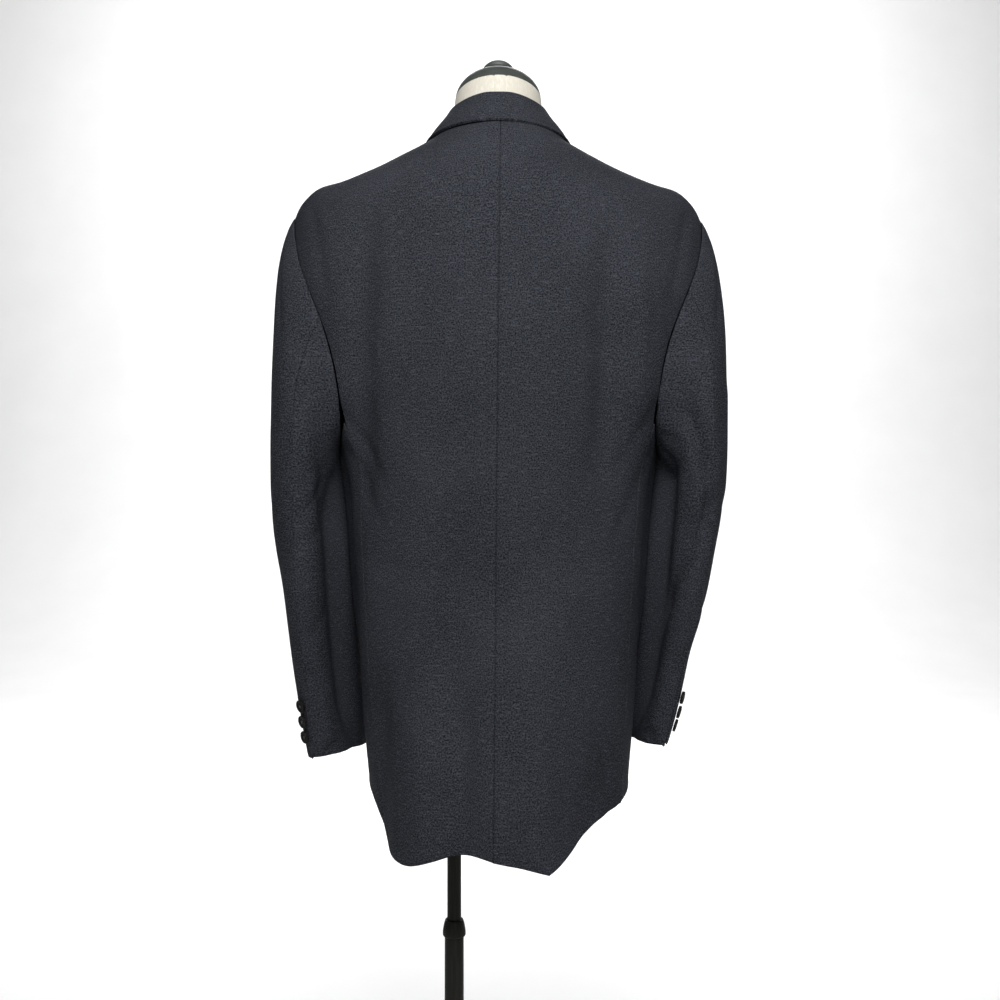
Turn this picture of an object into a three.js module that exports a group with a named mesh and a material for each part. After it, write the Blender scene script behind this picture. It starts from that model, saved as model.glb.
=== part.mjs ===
// A sport coat on a limbless dress form that stands on a pole.
// Millimetres, +Z up. The form's front faces +Y, so +X is the wearer's right.
// The origin is on the floor, on the axis of the pole. The coat's middle is off that axis.

import * as THREE from 'three';

// Driving sizes of the coat
const CLOTH = 2.0;
const SEAM_GAP = 0.3;
const LAYER_GAP = 1.0;
const COAT_MIDDLE_X = 50;
const HEM_LEVEL = 640;
const NECK_SEAM_LEVEL = 1413;
const SHOULDER_TIP_LEVEL = 1318;
const UNDERARM_LEVEL = 1060;
const BREAK_LEVEL = 1088;
const BACK_SIDE_SEAM_TURN = 28;
const FRONT_SIDE_SEAM_TURN = 27;
const SHOULDER_SLANT = 0.011;

// Driving sizes of the form and its stand
const FORM_BOTTOM_LEVEL = 700;
const FORM_SHOULDER_HALF = 190;
const NECK_RADIUS = 49.4;
const NECK_RIM_LEVEL = 1452;
const NECK_RIM_TILT = THREE.MathUtils.degToRad(14.7);
const CAP_HEIGHT = 39;
const KNOB_RADIUS = 18.5;
const KNOB_HEIGHT = 10.5;
const MAST_RADIUS = 8;
const MAST_FOOT_LEVEL = 150;
const SOCKET_RADIUS = 8.6;
const SOCKET_TOP_LEVEL = 820;
const TUBE_RADIUS = 11;
const TUBE_BORE_RADIUS = 8.7;
const TUBE_TOP_LEVEL = 505;
const COLLAR_TOP_LEVEL = 524;
const COLLAR_RADIUS = 13.2;
const BASE_RADIUS = 160;
const BASE_EDGE_HEIGHT = 7;
const BASE_BOSS_HEIGHT = 26;

const { clamp, degToRad, lerp, smoothstep } = THREE.MathUtils;

// A table is a list of rows with the same named columns, in rising order of its first column.
// Read between its rows, a column follows a smooth curve that never overshoots them.
function columnOf(rows, along, column) {
  const places = rows.map((row) => row[along]);
  const values = rows.map((row) => row[column]);
  const last = rows.length - 1;
  const slope = (i) => (values[i + 1] - values[i]) / (places[i + 1] - places[i]);
  const tangents = places.map((_, i) => {
    if (i === 0 || i === last) {
      return slope(Math.min(i, last - 1));
    }
    const before = slope(i - 1);
    const after = slope(i);
    return before * after <= 0 ? 0 : (2 * before * after) / (before + after);
  });
  return (place) => {
    const held = clamp(place, places[0], places[last]);
    const i = Math.min(places.findLastIndex((start) => start <= held), last - 1);
    const span = places[i + 1] - places[i];
    const t = (held - places[i]) / span;
    const rise = values[i + 1] - values[i];
    const ease = t * t * (3 - 2 * t);
    const lead = t * (1 - t) * (1 - t) * tangents[i];
    const trail = t * t * (t - 1) * tangents[i + 1];
    return values[i] + rise * ease + span * (lead + trail);
  };
}

function columnsOf(rows, along, columns) {
  return Object.fromEntries(columns.map((column) => [column, columnOf(rows, along, column)]));
}

// count + 1 even steps from start to end
function steps(start, end, count) {
  return Array.from({ length: count + 1 }, (_, i) => lerp(start, end, i / count));
}

// The coat round the body: half width at the side, and depth behind and in front of the middle.
const bodyRings = [
  { z: 630, half: 143, back: 167, front: 152, square: 2.1 },
  { z: 700, half: 148, back: 153, front: 149, square: 2.1 },
  { z: 776, half: 154, back: 132, front: 143, square: 2.15 },
  { z: 888, half: 160, back: 105, front: 131, square: 2.2 },
  { z: 930, half: 163, back: 101, front: 128, square: 2.25 },
  { z: 1000, half: 168, back: 105, front: 130, square: 2.25 },
  { z: 1060, half: 178, back: 113, front: 135, square: 2.2 },
  { z: 1131, half: 214, back: 123, front: 139, square: 2.2 },
  { z: 1207, half: 226, back: 127, front: 136, square: 2.2 },
  { z: 1268, half: 232, back: 123, front: 127, square: 2.15 },
  { z: 1318, half: 231, back: 115, front: 113, square: 2.05 },
  { z: 1331, half: 220, back: 112, front: 108, square: 2 },
  { z: 1341, half: 204, back: 109, front: 105, square: 2 },
  { z: 1348, half: 186, back: 107, front: 103, square: 2 },
  { z: 1363, half: 148, back: 102, front: 98, square: 2 },
  { z: 1382, half: 110, back: 94, front: 91, square: 2 },
  { z: 1397, half: 80, back: 86, front: 84, square: 2 },
  { z: 1413, half: 64, back: 74, front: 70, square: 2 },
];
const bodyRing = columnsOf(bodyRings, 'z', ['half', 'back', 'front', 'square']);

// The hem's height round the body. Turn is -90 at the middle of the back and 90 at the front.
const hemRows = {
  left: [
    { turn: -90, z: 641 },
    { turn: -77, z: 648 },
    { turn: -62, z: 636 },
    { turn: -50, z: 628 },
    { turn: -41, z: 631 },
    { turn: -30, z: 650 },
    { turn: -18, z: 672 },
    { turn: 0, z: 682 },
    { turn: 45, z: 664 },
    { turn: 90, z: 650 },
  ],
  right: [
    { turn: -90, z: 641 },
    { turn: -80, z: 636 },
    { turn: -68, z: 628 },
    { turn: -61, z: 640 },
    { turn: -54, z: 655 },
    { turn: -40, z: 671 },
    { turn: 0, z: 682 },
    { turn: 45, z: 664 },
    { turn: 90, z: 650 },
  ],
};
const hemHeight = {
  left: columnOf(hemRows.left, 'turn', 'z'),
  right: columnOf(hemRows.right, 'turn', 'z'),
};

// The soft folds of the body, each along a line from its top to its foot.
// Lift is how far it stands proud, so a trough has a lift below zero.
const bodyFolds = [
  { topX: -150, topZ: 1285, footX: -146, footZ: 1005, width: 14, lift: -6 },
  { topX: 112, topZ: 1255, footX: 116, footZ: 1050, width: 16, lift: -6 },
  { topX: 160, topZ: 1235, footX: 156, footZ: 1070, width: 14, lift: 4 },
  { topX: -32, topZ: 820, footX: -50, footZ: 650, width: 13, lift: -6 },
  { topX: -36, topZ: 800, footX: -20, footZ: 650, width: 12, lift: -6 },
  { topX: -82, topZ: 810, footX: -92, footZ: 635, width: 22, lift: 5 },
  { topX: 44, topZ: 800, footX: 50, footZ: 635, width: 20, lift: 6 },
  { topX: -126, topZ: 790, footX: -133, footZ: 655, width: 13, lift: -7 },
  { topX: 100, topZ: 740, footX: 93, footZ: 650, width: 13, lift: -7 },
];
const FOLD_END = 70;
const FOLD_FACE_DEPTH = 20;

function foldLift(x, y, z) {
  const onTheBack = smoothstep(-y, 0, FOLD_FACE_DEPTH);
  return onTheBack * bodyFolds.reduce((sum, fold) => {
    const along = clamp((fold.topZ - z) / (fold.topZ - fold.footZ), 0, 1);
    const away = (x - lerp(fold.topX, fold.footX, along)) / fold.width;
    const fromTop = smoothstep(fold.topZ - z, -FOLD_END / 2, FOLD_END / 2);
    const endsAbove = fold.footZ > UNDERARM_LEVEL - FOLD_END;
    const fromFoot = endsAbove ? smoothstep(z - fold.footZ, -FOLD_END / 2, FOLD_END / 2) : 1;
    return sum + fold.lift * fromTop * fromFoot * Math.exp(-away * away);
  }, 0);
}

const signOf = { left: -1, right: 1 };

// A point of the bare body shape, before its folds. Turn is in degrees.
function bodyShape(side, turn, z) {
  const square = bodyRing.square(z);
  const across = Math.cos(degToRad(turn));
  const deep = Math.sin(degToRad(turn));
  const reach = (Math.abs(across) ** square + Math.abs(deep) ** square) ** (-1 / square);
  const depth = deep < 0 ? bodyRing.back(z) : bodyRing.front(z);
  const x = signOf[side] * bodyRing.half(z) * across * reach;
  const drop = SHOULDER_SLANT * x * smoothstep(z, UNDERARM_LEVEL, SHOULDER_TIP_LEVEL);
  return new THREE.Vector3(x, depth * deep * reach, z - drop);
}

// The way out of a surface at a point, from the surface close round it
function outwardOf(surface, a, b, stepA, stepB, sign) {
  const alongA = surface(a + stepA, b).sub(surface(a - stepA, b));
  const alongB = surface(a, b + stepB).sub(surface(a, b - stepB));
  return alongA.cross(alongB).normalize().multiplyScalar(sign);
}

function bodyShapeOutward(side, turn, z) {
  return outwardOf((a, b) => bodyShape(side, a, b), turn, z, 0.5, 1, signOf[side]);
}

function bodySurface(side, turn, z) {
  const point = bodyShape(side, turn, z);
  const lift = foldLift(point.x, point.y, z);
  return Math.abs(lift) < 0.01 ? point : point.addScaledVector(bodyShapeOutward(side, turn, z), lift);
}

// A point moved out from the body's surface, or in where the distance is below zero
function bodyPoint(side, turn, z, distance = 0) {
  const outward = outwardOf((a, b) => bodySurface(side, a, b), turn, z, 0.5, 1, signOf[side]);
  return bodySurface(side, turn, z).addScaledVector(outward, distance);
}

// The turn at which the front reaches a distance from the middle, at a height
function frontTurnAt(x, z) {
  let near = 0;
  let far = 120;
  for (let i = 0; i < 30; i++) {
    const middle = (near + far) / 2;
    if (bodyShape('right', middle, z).x > x) {
      near = middle;
    } else {
      far = middle;
    }
  }
  return near;
}

// Below this level the rows of a panel close up or open out, so that the last one is the hem.
const HEM_EASE_LEVEL = 820;

function rowHeight(side, turn, level) {
  if (level >= HEM_EASE_LEVEL) {
    return level;
  }
  const share = (HEM_EASE_LEVEL - level) / (HEM_EASE_LEVEL - HEM_LEVEL);
  return HEM_EASE_LEVEL - share * (HEM_EASE_LEVEL - hemHeight[side](turn));
}

// The armhole is an egg-shaped loop, narrow at the shoulder. Round it, 0 is the shoulder tip,
// 90 the back, 180 the underarm and 270 the front.
const ARMHOLE_MIDDLE_LEVEL = (SHOULDER_TIP_LEVEL + UNDERARM_LEVEL) / 2;
const ARMHOLE_HALF_HEIGHT = (SHOULDER_TIP_LEVEL - UNDERARM_LEVEL) / 2;
const ARMHOLE_BACK_TURN = 35;
const ARMHOLE_FRONT_TURN = 32;
const ARMHOLE_EGG = 0.5;

function armholeTurn(round) {
  const width = Math.sin(degToRad(round)) > 0 ? ARMHOLE_BACK_TURN : ARMHOLE_FRONT_TURN;
  return -width * Math.sin(degToRad(round)) * (1 - ARMHOLE_EGG * Math.cos(degToRad(round)));
}

function armholeLevel(round) {
  return ARMHOLE_MIDDLE_LEVEL + ARMHOLE_HALF_HEIGHT * Math.cos(degToRad(round));
}

function armholeRoundAtLevel(level) {
  const share = clamp((level - ARMHOLE_MIDDLE_LEVEL) / ARMHOLE_HALF_HEIGHT, -1, 1);
  return THREE.MathUtils.radToDeg(Math.acos(share));
}

// The level of the armhole's lower edge above a turn of the side panel
function armholeFloor(turn) {
  let near = 115;
  let far = 180;
  for (let i = 0; i < 30; i++) {
    const middle = (near + far) / 2;
    const reached = Math.abs(armholeTurn(turn < 0 ? middle : 360 - middle));
    if (reached > Math.abs(turn)) {
      near = middle;
    } else {
      far = middle;
    }
  }
  return armholeLevel(near);
}

const backSeamTopLevel = armholeFloor(-BACK_SIDE_SEAM_TURN);
const frontSeamTopLevel = armholeFloor(FRONT_SIDE_SEAM_TURN);

// Where the back ends at the side: the side seam, then the armhole, then the shoulder seam
function backEdgeTurn(level) {
  if (level <= backSeamTopLevel) {
    return -BACK_SIDE_SEAM_TURN;
  }
  return level < SHOULDER_TIP_LEVEL ? armholeTurn(armholeRoundAtLevel(level)) : 0;
}

function frontOuterTurn(level) {
  if (level <= frontSeamTopLevel) {
    return FRONT_SIDE_SEAM_TURN;
  }
  return level < SHOULDER_TIP_LEVEL ? armholeTurn(360 - armholeRoundAtLevel(level)) : 0;
}

// The front's inner edge: the cutaway, the straight lap, the roll line and the neck.
// x is its distance from the middle, and is below zero where the front laps over.
const frontEdgeRows = [
  { z: 640, x: 84 },
  { z: 662, x: 52 },
  { z: 700, x: 28 },
  { z: 800, x: 2 },
  { z: 900, x: -12 },
  { z: 985, x: -18 },
  { z: 1088, x: -18 },
  { z: 1130, x: -8 },
  { z: 1392, x: 54 },
  { z: 1402, x: 57 },
  { z: 1413, x: 61 },
];
const frontEdgeX = columnOf(frontEdgeRows, 'z', 'x');

// The left front lies over the right one, and over the right lapel above the break.
function lapLift(side, x, z) {
  if (side === 'right') {
    return 0;
  }
  const overFront = CLOTH + LAYER_GAP;
  const overLapel = (CLOTH + LAYER_GAP) * smoothstep(z, BREAK_LEVEL - 45, BREAK_LEVEL - 10);
  return (overFront + overLapel) * smoothstep(x, -60, -32);
}

function frontPoint(side, turn, z, distance = 0) {
  return bodyPoint(side, turn, z, distance + lapLift(side, signOf[side] * frontInward(turn, z), z));
}

function frontInward(turn, z) {
  return bodyShape('right', turn, z).x;
}

// A solid from points and triangles, with its faces turned to point out
function solidOf(points, faces) {
  const corner = (i) => points[faces[i]];
  let volume = 0;
  for (let i = 0; i < faces.length; i += 3) {
    volume += corner(i).dot(new THREE.Vector3().crossVectors(corner(i + 1), corner(i + 2)));
  }
  const order = volume > 0 ? faces : faces.slice().reverse();
  const geometry = new THREE.BufferGeometry().setFromPoints(points);
  geometry.setIndex(order);
  geometry.computeVertexNormals();
  return geometry;
}

// A wall of cloth: an outside and an inside grid of points, joined round their edges
function wallBetween(outside, inside) {
  const rows = outside.length;
  const columns = outside[0].length;
  const points = [...outside.flat(), ...inside.flat()];
  const at = (row, column, face) => (face * rows + row) * columns + column;
  const faces = [];
  const addQuad = (a, b, c, d) => faces.push(a, b, c, a, c, d);
  for (let row = 0; row < rows - 1; row++) {
    for (let column = 0; column < columns - 1; column++) {
      const corners = [[row, column], [row, column + 1], [row + 1, column + 1], [row + 1, column]];
      addQuad(...corners.map(([r, c]) => at(r, c, 0)));
      addQuad(...corners.reverse().map(([r, c]) => at(r, c, 1)));
    }
  }
  const upTo = (count) => Array.from({ length: count }, (_, i) => i);
  const edge = [
    ...upTo(columns - 1).map((column) => [0, column]),
    ...upTo(rows - 1).map((row) => [row, columns - 1]),
    ...upTo(columns - 1).map((column) => [rows - 1, columns - 1 - column]),
    ...upTo(rows - 1).map((row) => [rows - 1 - row, 0]),
  ];
  edge.forEach(([row, column], i) => {
    const [nextRow, nextColumn] = edge[(i + 1) % edge.length];
    addQuad(at(nextRow, nextColumn, 0), at(row, column, 0), at(row, column, 1), at(nextRow, nextColumn, 1));
  });
  return solidOf(points, faces);
}

// Each edge of a grid is drawn in a little, so that neighbours don't touch.
function trimmed(grid, trim) {
  const last = grid.length - 1;
  const end = grid[0].length - 1;
  const pulled = (point, towards) => {
    const way = towards.clone().sub(point);
    return point.clone().addScaledVector(way.normalize(), trim);
  };
  const inRows = grid.map((row, i) => {
    const towards = i === 0 ? grid[1] : grid[last - 1];
    return i > 0 && i < last ? row : row.map((point, j) => pulled(point, towards[j]));
  });
  return inRows.map((row) => {
    const first = pulled(row[0], row[1]);
    return [first, ...row.slice(1, end), pulled(row[end], row[end - 1])];
  });
}

// A wall from a function that gives a point at a row, a column and a distance out
function clothWall(rows, columns, pointAt, trim = SEAM_GAP / 2) {
  const gridAt = (distance) => rows.map((row) => columns.map((column) => pointAt(row, column, distance)));
  return wallBetween(trimmed(gridAt(0), trim), trimmed(gridAt(-CLOTH), trim));
}

// A solid through rings of equal count, with its two ends closed by a fan
function solidThroughRings(rings) {
  const count = rings[0].length;
  const faces = [];
  for (let ring = 0; ring < rings.length - 1; ring++) {
    for (let i = 0; i < count; i++) {
      const a = ring * count + i;
      const b = ring * count + ((i + 1) % count);
      faces.push(a, b, b + count, a, b + count, a + count);
    }
  }
  const points = rings.flat();
  const middleOf = (ring) => {
    const sum = ring.reduce((total, point) => total.add(point), new THREE.Vector3());
    return sum.divideScalar(count);
  };
  const lastStart = (rings.length - 1) * count;
  points.push(middleOf(rings[0]), middleOf(rings.at(-1)));
  for (let i = 0; i < count; i++) {
    const next = (i + 1) % count;
    faces.push(points.length - 2, next, i);
    faces.push(points.length - 1, lastStart + i, lastStart + next);
  }
  return solidOf(points, faces);
}

// A turned piece from its profile of radius and height
function turned(profile, sides) {
  const outline = profile.map(([radius, height]) => new THREE.Vector2(radius, height));
  return new THREE.LatheGeometry(outline, sides).rotateX(Math.PI / 2);
}

const wool = new THREE.MeshStandardMaterial({ color: 0x393a3e, roughness: 0.92, metalness: 0 });
const horn = new THREE.MeshStandardMaterial({ color: 0x1f1e1f, roughness: 0.45, metalness: 0 });
const jersey = new THREE.MeshStandardMaterial({ color: 0xe9e7dc, roughness: 0.9, metalness: 0 });
const capPaint = new THREE.MeshStandardMaterial({ color: 0x3c4240, roughness: 0.55, metalness: 0 });
const enamel = new THREE.MeshStandardMaterial({ color: 0x1f1f1b, roughness: 0.35, metalness: 0.6 });

const sportCoat = new THREE.Group();
const coatAndForm = new THREE.Group();
coatAndForm.position.x = COAT_MIDDLE_X;
const stand = new THREE.Group();
sportCoat.add(coatAndForm, stand);

function add(group, name, geometry, material) {
  const mesh = new THREE.Mesh(geometry, material);
  mesh.name = name;
  group.add(mesh);
  return mesh;
}

// Backs

const shoulderLevels = steps(SHOULDER_TIP_LEVEL, NECK_SEAM_LEVEL, 8);
const SIDE_SEAM_ROWS = 10;
const backLevels = [
  ...steps(HEM_LEVEL, backSeamTopLevel, SIDE_SEAM_ROWS),
  ...steps(backSeamTopLevel, SHOULDER_TIP_LEVEL, 8).slice(1),
  ...shoulderLevels.slice(1),
];

function back(side) {
  return clothWall(backLevels, steps(0, 1, 12), (level, share, distance) => {
    const turn = lerp(-90, backEdgeTurn(level), share);
    return bodyPoint(side, turn, rowHeight(side, turn, level), distance);
  });
}

// Side panels, up to the underarm

function sidePanel(side) {
  const turns = steps(-BACK_SIDE_SEAM_TURN, FRONT_SIDE_SEAM_TURN, 6);
  return clothWall(steps(0, 1, SIDE_SEAM_ROWS), turns, (share, turn, distance) => {
    const level = lerp(HEM_LEVEL, armholeFloor(turn), share);
    return bodyPoint(side, turn, rowHeight(side, turn, level), distance);
  });
}

// Fronts

const frontLevels = [
  ...steps(HEM_LEVEL, frontSeamTopLevel, SIDE_SEAM_ROWS),
  ...steps(frontSeamTopLevel, SHOULDER_TIP_LEVEL, 8).slice(1),
  ...shoulderLevels.slice(1),
];

function front(side) {
  return clothWall(frontLevels, steps(0, 1, 9), (level, share, distance) => {
    const outer = frontOuterTurn(level);
    const inner = frontTurnAt(frontEdgeX(level), level);
    const turn = lerp(outer, inner, share);
    return frontPoint(side, turn, rowHeight(side, turn, level), distance);
  });
}

// Lapels, each from the roll line to its own outer edge

const lapelRows = [
  { share: 0, rollZ: 1090, edgeX: -10, edgeZ: 1090 },
  { share: 0.25, rollZ: 1165, edgeX: 36, edgeZ: 1148 },
  { share: 0.6, rollZ: 1272, edgeX: 82, edgeZ: 1242 },
  { share: 1, rollZ: 1391, edgeX: 106, edgeZ: 1346 },
];
const lapelRow = columnsOf(lapelRows, 'share', ['rollZ', 'edgeX', 'edgeZ']);
const LAPEL_ROLL = 3;

function lapel(side) {
  return clothWall(steps(0, 1, 11), steps(0, 1, 4), (share, across, distance) => {
    const rollZ = lapelRow.rollZ(share);
    const x = lerp(frontEdgeX(rollZ), lapelRow.edgeX(share), across);
    const z = lerp(rollZ, lapelRow.edgeZ(share), across);
    const roll = LAPEL_ROLL * Math.sin(Math.PI * across) * smoothstep(share, 0.2, 0.6);
    const above = CLOTH + LAYER_GAP + roll + 2 * smoothstep(share, 0.6, 1) + 0.3;
    return frontPoint(side, frontTurnAt(x, z), z, above + distance);
  });
}

// Collar: a stand that rises from the neck seam, a fold, and a fall that covers the seam.
// Each row is a station from the middle of the back to the end of the gorge seam.
const collarRows = [
  {
    station: 0, leafTurn: -90, leafZ: 1402, seamTurn: -90, seamZ: 1413,
    foldX: 0, foldY: -66, foldZ: 1440, crown: 1,
  },
  {
    station: 1, leafTurn: -60, leafZ: 1401, seamTurn: -60, seamZ: 1413,
    foldX: 27, foldY: -60, foldZ: 1441.5, crown: 1,
  },
  {
    station: 2, leafTurn: -32, leafZ: 1399, seamTurn: -32, seamZ: 1413,
    foldX: 45, foldY: -38, foldZ: 1444, crown: 1.5,
  },
  {
    station: 3, leafTurn: -8, leafZ: 1397, seamTurn: -8, seamZ: 1413,
    foldX: 53.5, foldY: -12, foldZ: 1445, crown: 2,
  },
  {
    station: 4, leafTurn: 10, leafZ: 1391, seamTurn: 12, seamZ: 1413,
    foldX: 55, foldY: 15, foldZ: 1438, crown: 3,
  },
  {
    station: 5, leafTurn: 25, leafZ: 1384, seamTurn: 28, seamZ: 1409,
    foldX: 55, foldY: 38, foldZ: 1424, crown: 4,
  },
  {
    station: 6, leafTurn: 41, leafZ: 1377, seamTurn: 41, seamZ: 1402,
    foldX: 55, foldY: 56, foldZ: 1409, crown: 5,
  },
  {
    station: 7, leafTurn: 54, leafZ: 1368, seamTurn: 52, seamZ: 1394,
    foldX: 55, foldY: 71, foldZ: 1397, crown: 5,
  },
];
const collarColumns = ['leafTurn', 'leafZ', 'seamTurn', 'seamZ', 'foldX', 'foldY', 'foldZ', 'crown'];
const collarRow = columnsOf(collarRows, 'station', collarColumns);
const COLLAR_END = 7;
const COLLAR_FOLD_RADIUS = 1.9;
const COLLAR_LEAF_GAP = 1.3;

// The middle line of the collar's cloth at one station, from the neck seam over the fold to the edge
function collarPath(station) {
  const side = station < 0 ? 'left' : 'right';
  const at = Math.abs(station);
  const row = Object.fromEntries(collarColumns.map((column) => [column, collarRow[column](at)]));
  const seam = bodyPoint(side, row.seamTurn, row.seamZ, -CLOTH / 2);
  seam.z += CLOTH;
  const fold = new THREE.Vector3(signOf[side] * row.foldX, row.foldY, row.foldZ - CLOTH / 2);
  const leaf = bodyPoint(side, row.leafTurn, row.leafZ, COLLAR_LEAF_GAP + CLOTH / 2);
  const outward = leaf.clone().sub(seam).setZ(0).normalize();
  const arc = [180, 135, 90, 45, 0].map((angle) => {
    const along = COLLAR_FOLD_RADIUS * Math.cos(degToRad(angle));
    const up = COLLAR_FOLD_RADIUS * (Math.sin(degToRad(angle)) - 1);
    return fold.clone().addScaledVector(outward, along).add(new THREE.Vector3(0, 0, up));
  });
  const rise = seam.clone().lerp(arc[0], 0.5);
  const fall = arc[4].clone().lerp(leaf, 0.5).addScaledVector(outward, row.crown);
  fall.z += row.crown / 2;
  return [seam, rise, ...arc, fall, leaf];
}

function collar() {
  const paths = steps(-COLLAR_END, COLLAR_END, 22).map(collarPath);
  const grid = paths[0].map((_, i) => paths.map((path) => path[i]));
  const outwardAt = (row, column) => {
    const above = grid[Math.min(row + 1, grid.length - 1)][column];
    const below = grid[Math.max(row - 1, 0)][column];
    const right = grid[row][Math.min(column + 1, paths.length - 1)];
    const left = grid[row][Math.max(column - 1, 0)];
    return above.clone().sub(below).cross(right.clone().sub(left)).normalize();
  };
  const offset = (distance) => grid.map((line, row) => line.map((point, column) => (
    point.clone().addScaledVector(outwardAt(row, column), distance)
  )));
  return wallBetween(offset(CLOTH / 2), offset(-CLOTH / 2));
}

// Sleeves, through sections from the armhole to the cuff. Each section has its outer and its
// inner point seen from behind, its middle and half depth from front to back, and how far its
// front is turned in towards the body.
const sleeveRows = {
  left: [
    { along: 0, outX: 231, outZ: 1318, inX: 178.5, inZ: 1060, midY: 3, deep: 78, turnIn: 0 },
    { along: 0.04, outX: 240, outZ: 1301, inX: 179, inZ: 1058, midY: 3, deep: 79, turnIn: 0 },
    { along: 0.08, outX: 245.5, outZ: 1283, inX: 179.5, inZ: 1056, midY: 3, deep: 80, turnIn: 0 },
    { along: 0.15, outX: 250, outZ: 1243, inX: 179.5, inZ: 1050, midY: 2, deep: 81, turnIn: 0 },
    { along: 0.24, outX: 253, outZ: 1190, inX: 179, inZ: 1040, midY: 1, deep: 82, turnIn: 0 },
    { along: 0.34, outX: 255, outZ: 1130, inX: 178, inZ: 1022, midY: 0, deep: 82, turnIn: 0 },
    { along: 0.44, outX: 255.5, outZ: 1062, inX: 176.5, inZ: 995, midY: 1, deep: 80, turnIn: 2 },
    { along: 0.53, outX: 255, outZ: 1000, inX: 172, inZ: 962, midY: 4, deep: 77, turnIn: 5 },
    { along: 0.62, outX: 250, outZ: 937, inX: 168, inZ: 915, midY: 11, deep: 73, turnIn: 9 },
    { along: 0.72, outX: 242, outZ: 874, inX: 163, inZ: 862, midY: 21, deep: 70, turnIn: 13 },
    { along: 0.82, outX: 234, outZ: 816, inX: 159, inZ: 808, midY: 31, deep: 68, turnIn: 16 },
    { along: 0.91, outX: 227, outZ: 762, inX: 156, inZ: 757, midY: 39, deep: 66, turnIn: 18 },
    { along: 1, outX: 217, outZ: 708, inX: 154, inZ: 710, midY: 45, deep: 65, turnIn: 20 },
  ],
  right: [
    { along: 0, outX: 231, outZ: 1318, inX: 178.5, inZ: 1060, midY: 3, deep: 78, turnIn: 0 },
    { along: 0.04, outX: 240, outZ: 1300, inX: 179, inZ: 1058, midY: 3, deep: 79, turnIn: 0 },
    { along: 0.08, outX: 245, outZ: 1284, inX: 179.5, inZ: 1056, midY: 3, deep: 80, turnIn: 0 },
    { along: 0.15, outX: 251, outZ: 1243, inX: 180, inZ: 1050, midY: 2, deep: 82, turnIn: 0 },
    { along: 0.24, outX: 256, outZ: 1190, inX: 179.5, inZ: 1040, midY: 1, deep: 83, turnIn: 0 },
    { along: 0.34, outX: 257, outZ: 1130, inX: 178.5, inZ: 1022, midY: 1, deep: 82, turnIn: 0 },
    { along: 0.44, outX: 255.5, outZ: 1062, inX: 176.5, inZ: 995, midY: 3, deep: 80, turnIn: 3 },
    { along: 0.53, outX: 253, outZ: 1000, inX: 171, inZ: 962, midY: 7, deep: 76, turnIn: 7 },
    { along: 0.62, outX: 245, outZ: 937, inX: 166, inZ: 915, midY: 15, deep: 71, turnIn: 11 },
    { along: 0.72, outX: 234, outZ: 877, inX: 160, inZ: 866, midY: 25, deep: 67, turnIn: 14 },
    { along: 0.82, outX: 217, outZ: 822, inX: 154, inZ: 815, midY: 33, deep: 64, turnIn: 15 },
    { along: 0.91, outX: 207, outZ: 769, inX: 150, inZ: 766, midY: 40, deep: 62, turnIn: 15 },
    { along: 1, outX: 194, outZ: 725, inX: 147, inZ: 721, midY: 45, deep: 60, turnIn: 15 },
  ],
};
const sleeveColumns = ['outX', 'outZ', 'inX', 'inZ', 'midY', 'deep', 'turnIn'];
const sleeveRow = {
  left: columnsOf(sleeveRows.left, 'along', sleeveColumns),
  right: columnsOf(sleeveRows.right, 'along', sleeveColumns),
};
const SLEEVE_LENGTH = 640;
const SLEEVE_MEAN_RADIUS = 62;
const CAP_FADE = 0.3;
const SLEEVE_SEAM_GAP = 1.3;
const HALF_THICKNESS_LEAST = 12;

// The sleeves' folds, each along a line from its top to its foot. Round is 0 at the outside,
// 90 at the back, 180 at the inside and 270 at the front.
const sleeveFolds = {
  left: [
    { topRound: 112, topAlong: 0.42, footRound: 100, footAlong: 0.56, width: 14, lift: -5 },
    { topRound: 70, topAlong: 0.58, footRound: 40, footAlong: 0.66, width: 13, lift: -4 },
    { topRound: 50, topAlong: 0.72, footRound: 75, footAlong: 0.8, width: 13, lift: -3 },
    { topRound: 265, topAlong: 0.5, footRound: 300, footAlong: 0.6, width: 14, lift: -5 },
    { topRound: 262, topAlong: 0.62, footRound: 305, footAlong: 0.68, width: 12, lift: -4 },
  ],
  right: [
    { topRound: 106, topAlong: 0.36, footRound: 122, footAlong: 0.58, width: 14, lift: -7 },
    { topRound: 40, topAlong: 0.62, footRound: 60, footAlong: 0.69, width: 13, lift: -4 },
    { topRound: 30, topAlong: 0.76, footRound: 55, footAlong: 0.82, width: 12, lift: -3 },
    { topRound: 262, topAlong: 0.48, footRound: 300, footAlong: 0.58, width: 14, lift: -5 },
    { topRound: 260, topAlong: 0.62, footRound: 305, footAlong: 0.7, width: 12, lift: -4 },
  ],
};

function sleeveFoldLift(side, round, along) {
  return sleeveFolds[side].reduce((sum, fold) => {
    const spanU = degToRad(fold.footRound - fold.topRound) * SLEEVE_MEAN_RADIUS;
    const spanV = (fold.footAlong - fold.topAlong) * SLEEVE_LENGTH;
    const u = degToRad(round - fold.topRound) * SLEEVE_MEAN_RADIUS;
    const v = (along - fold.topAlong) * SLEEVE_LENGTH;
    const length = Math.hypot(spanU, spanV);
    const down = (u * spanU + v * spanV) / length;
    const away = (u * spanV - v * spanU) / length / fold.width;
    const past = Math.max(-down, down - length, 0) / (2 * fold.width);
    return sum + fold.lift * Math.exp(-away * away - past * past);
  }, 0);
}

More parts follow.
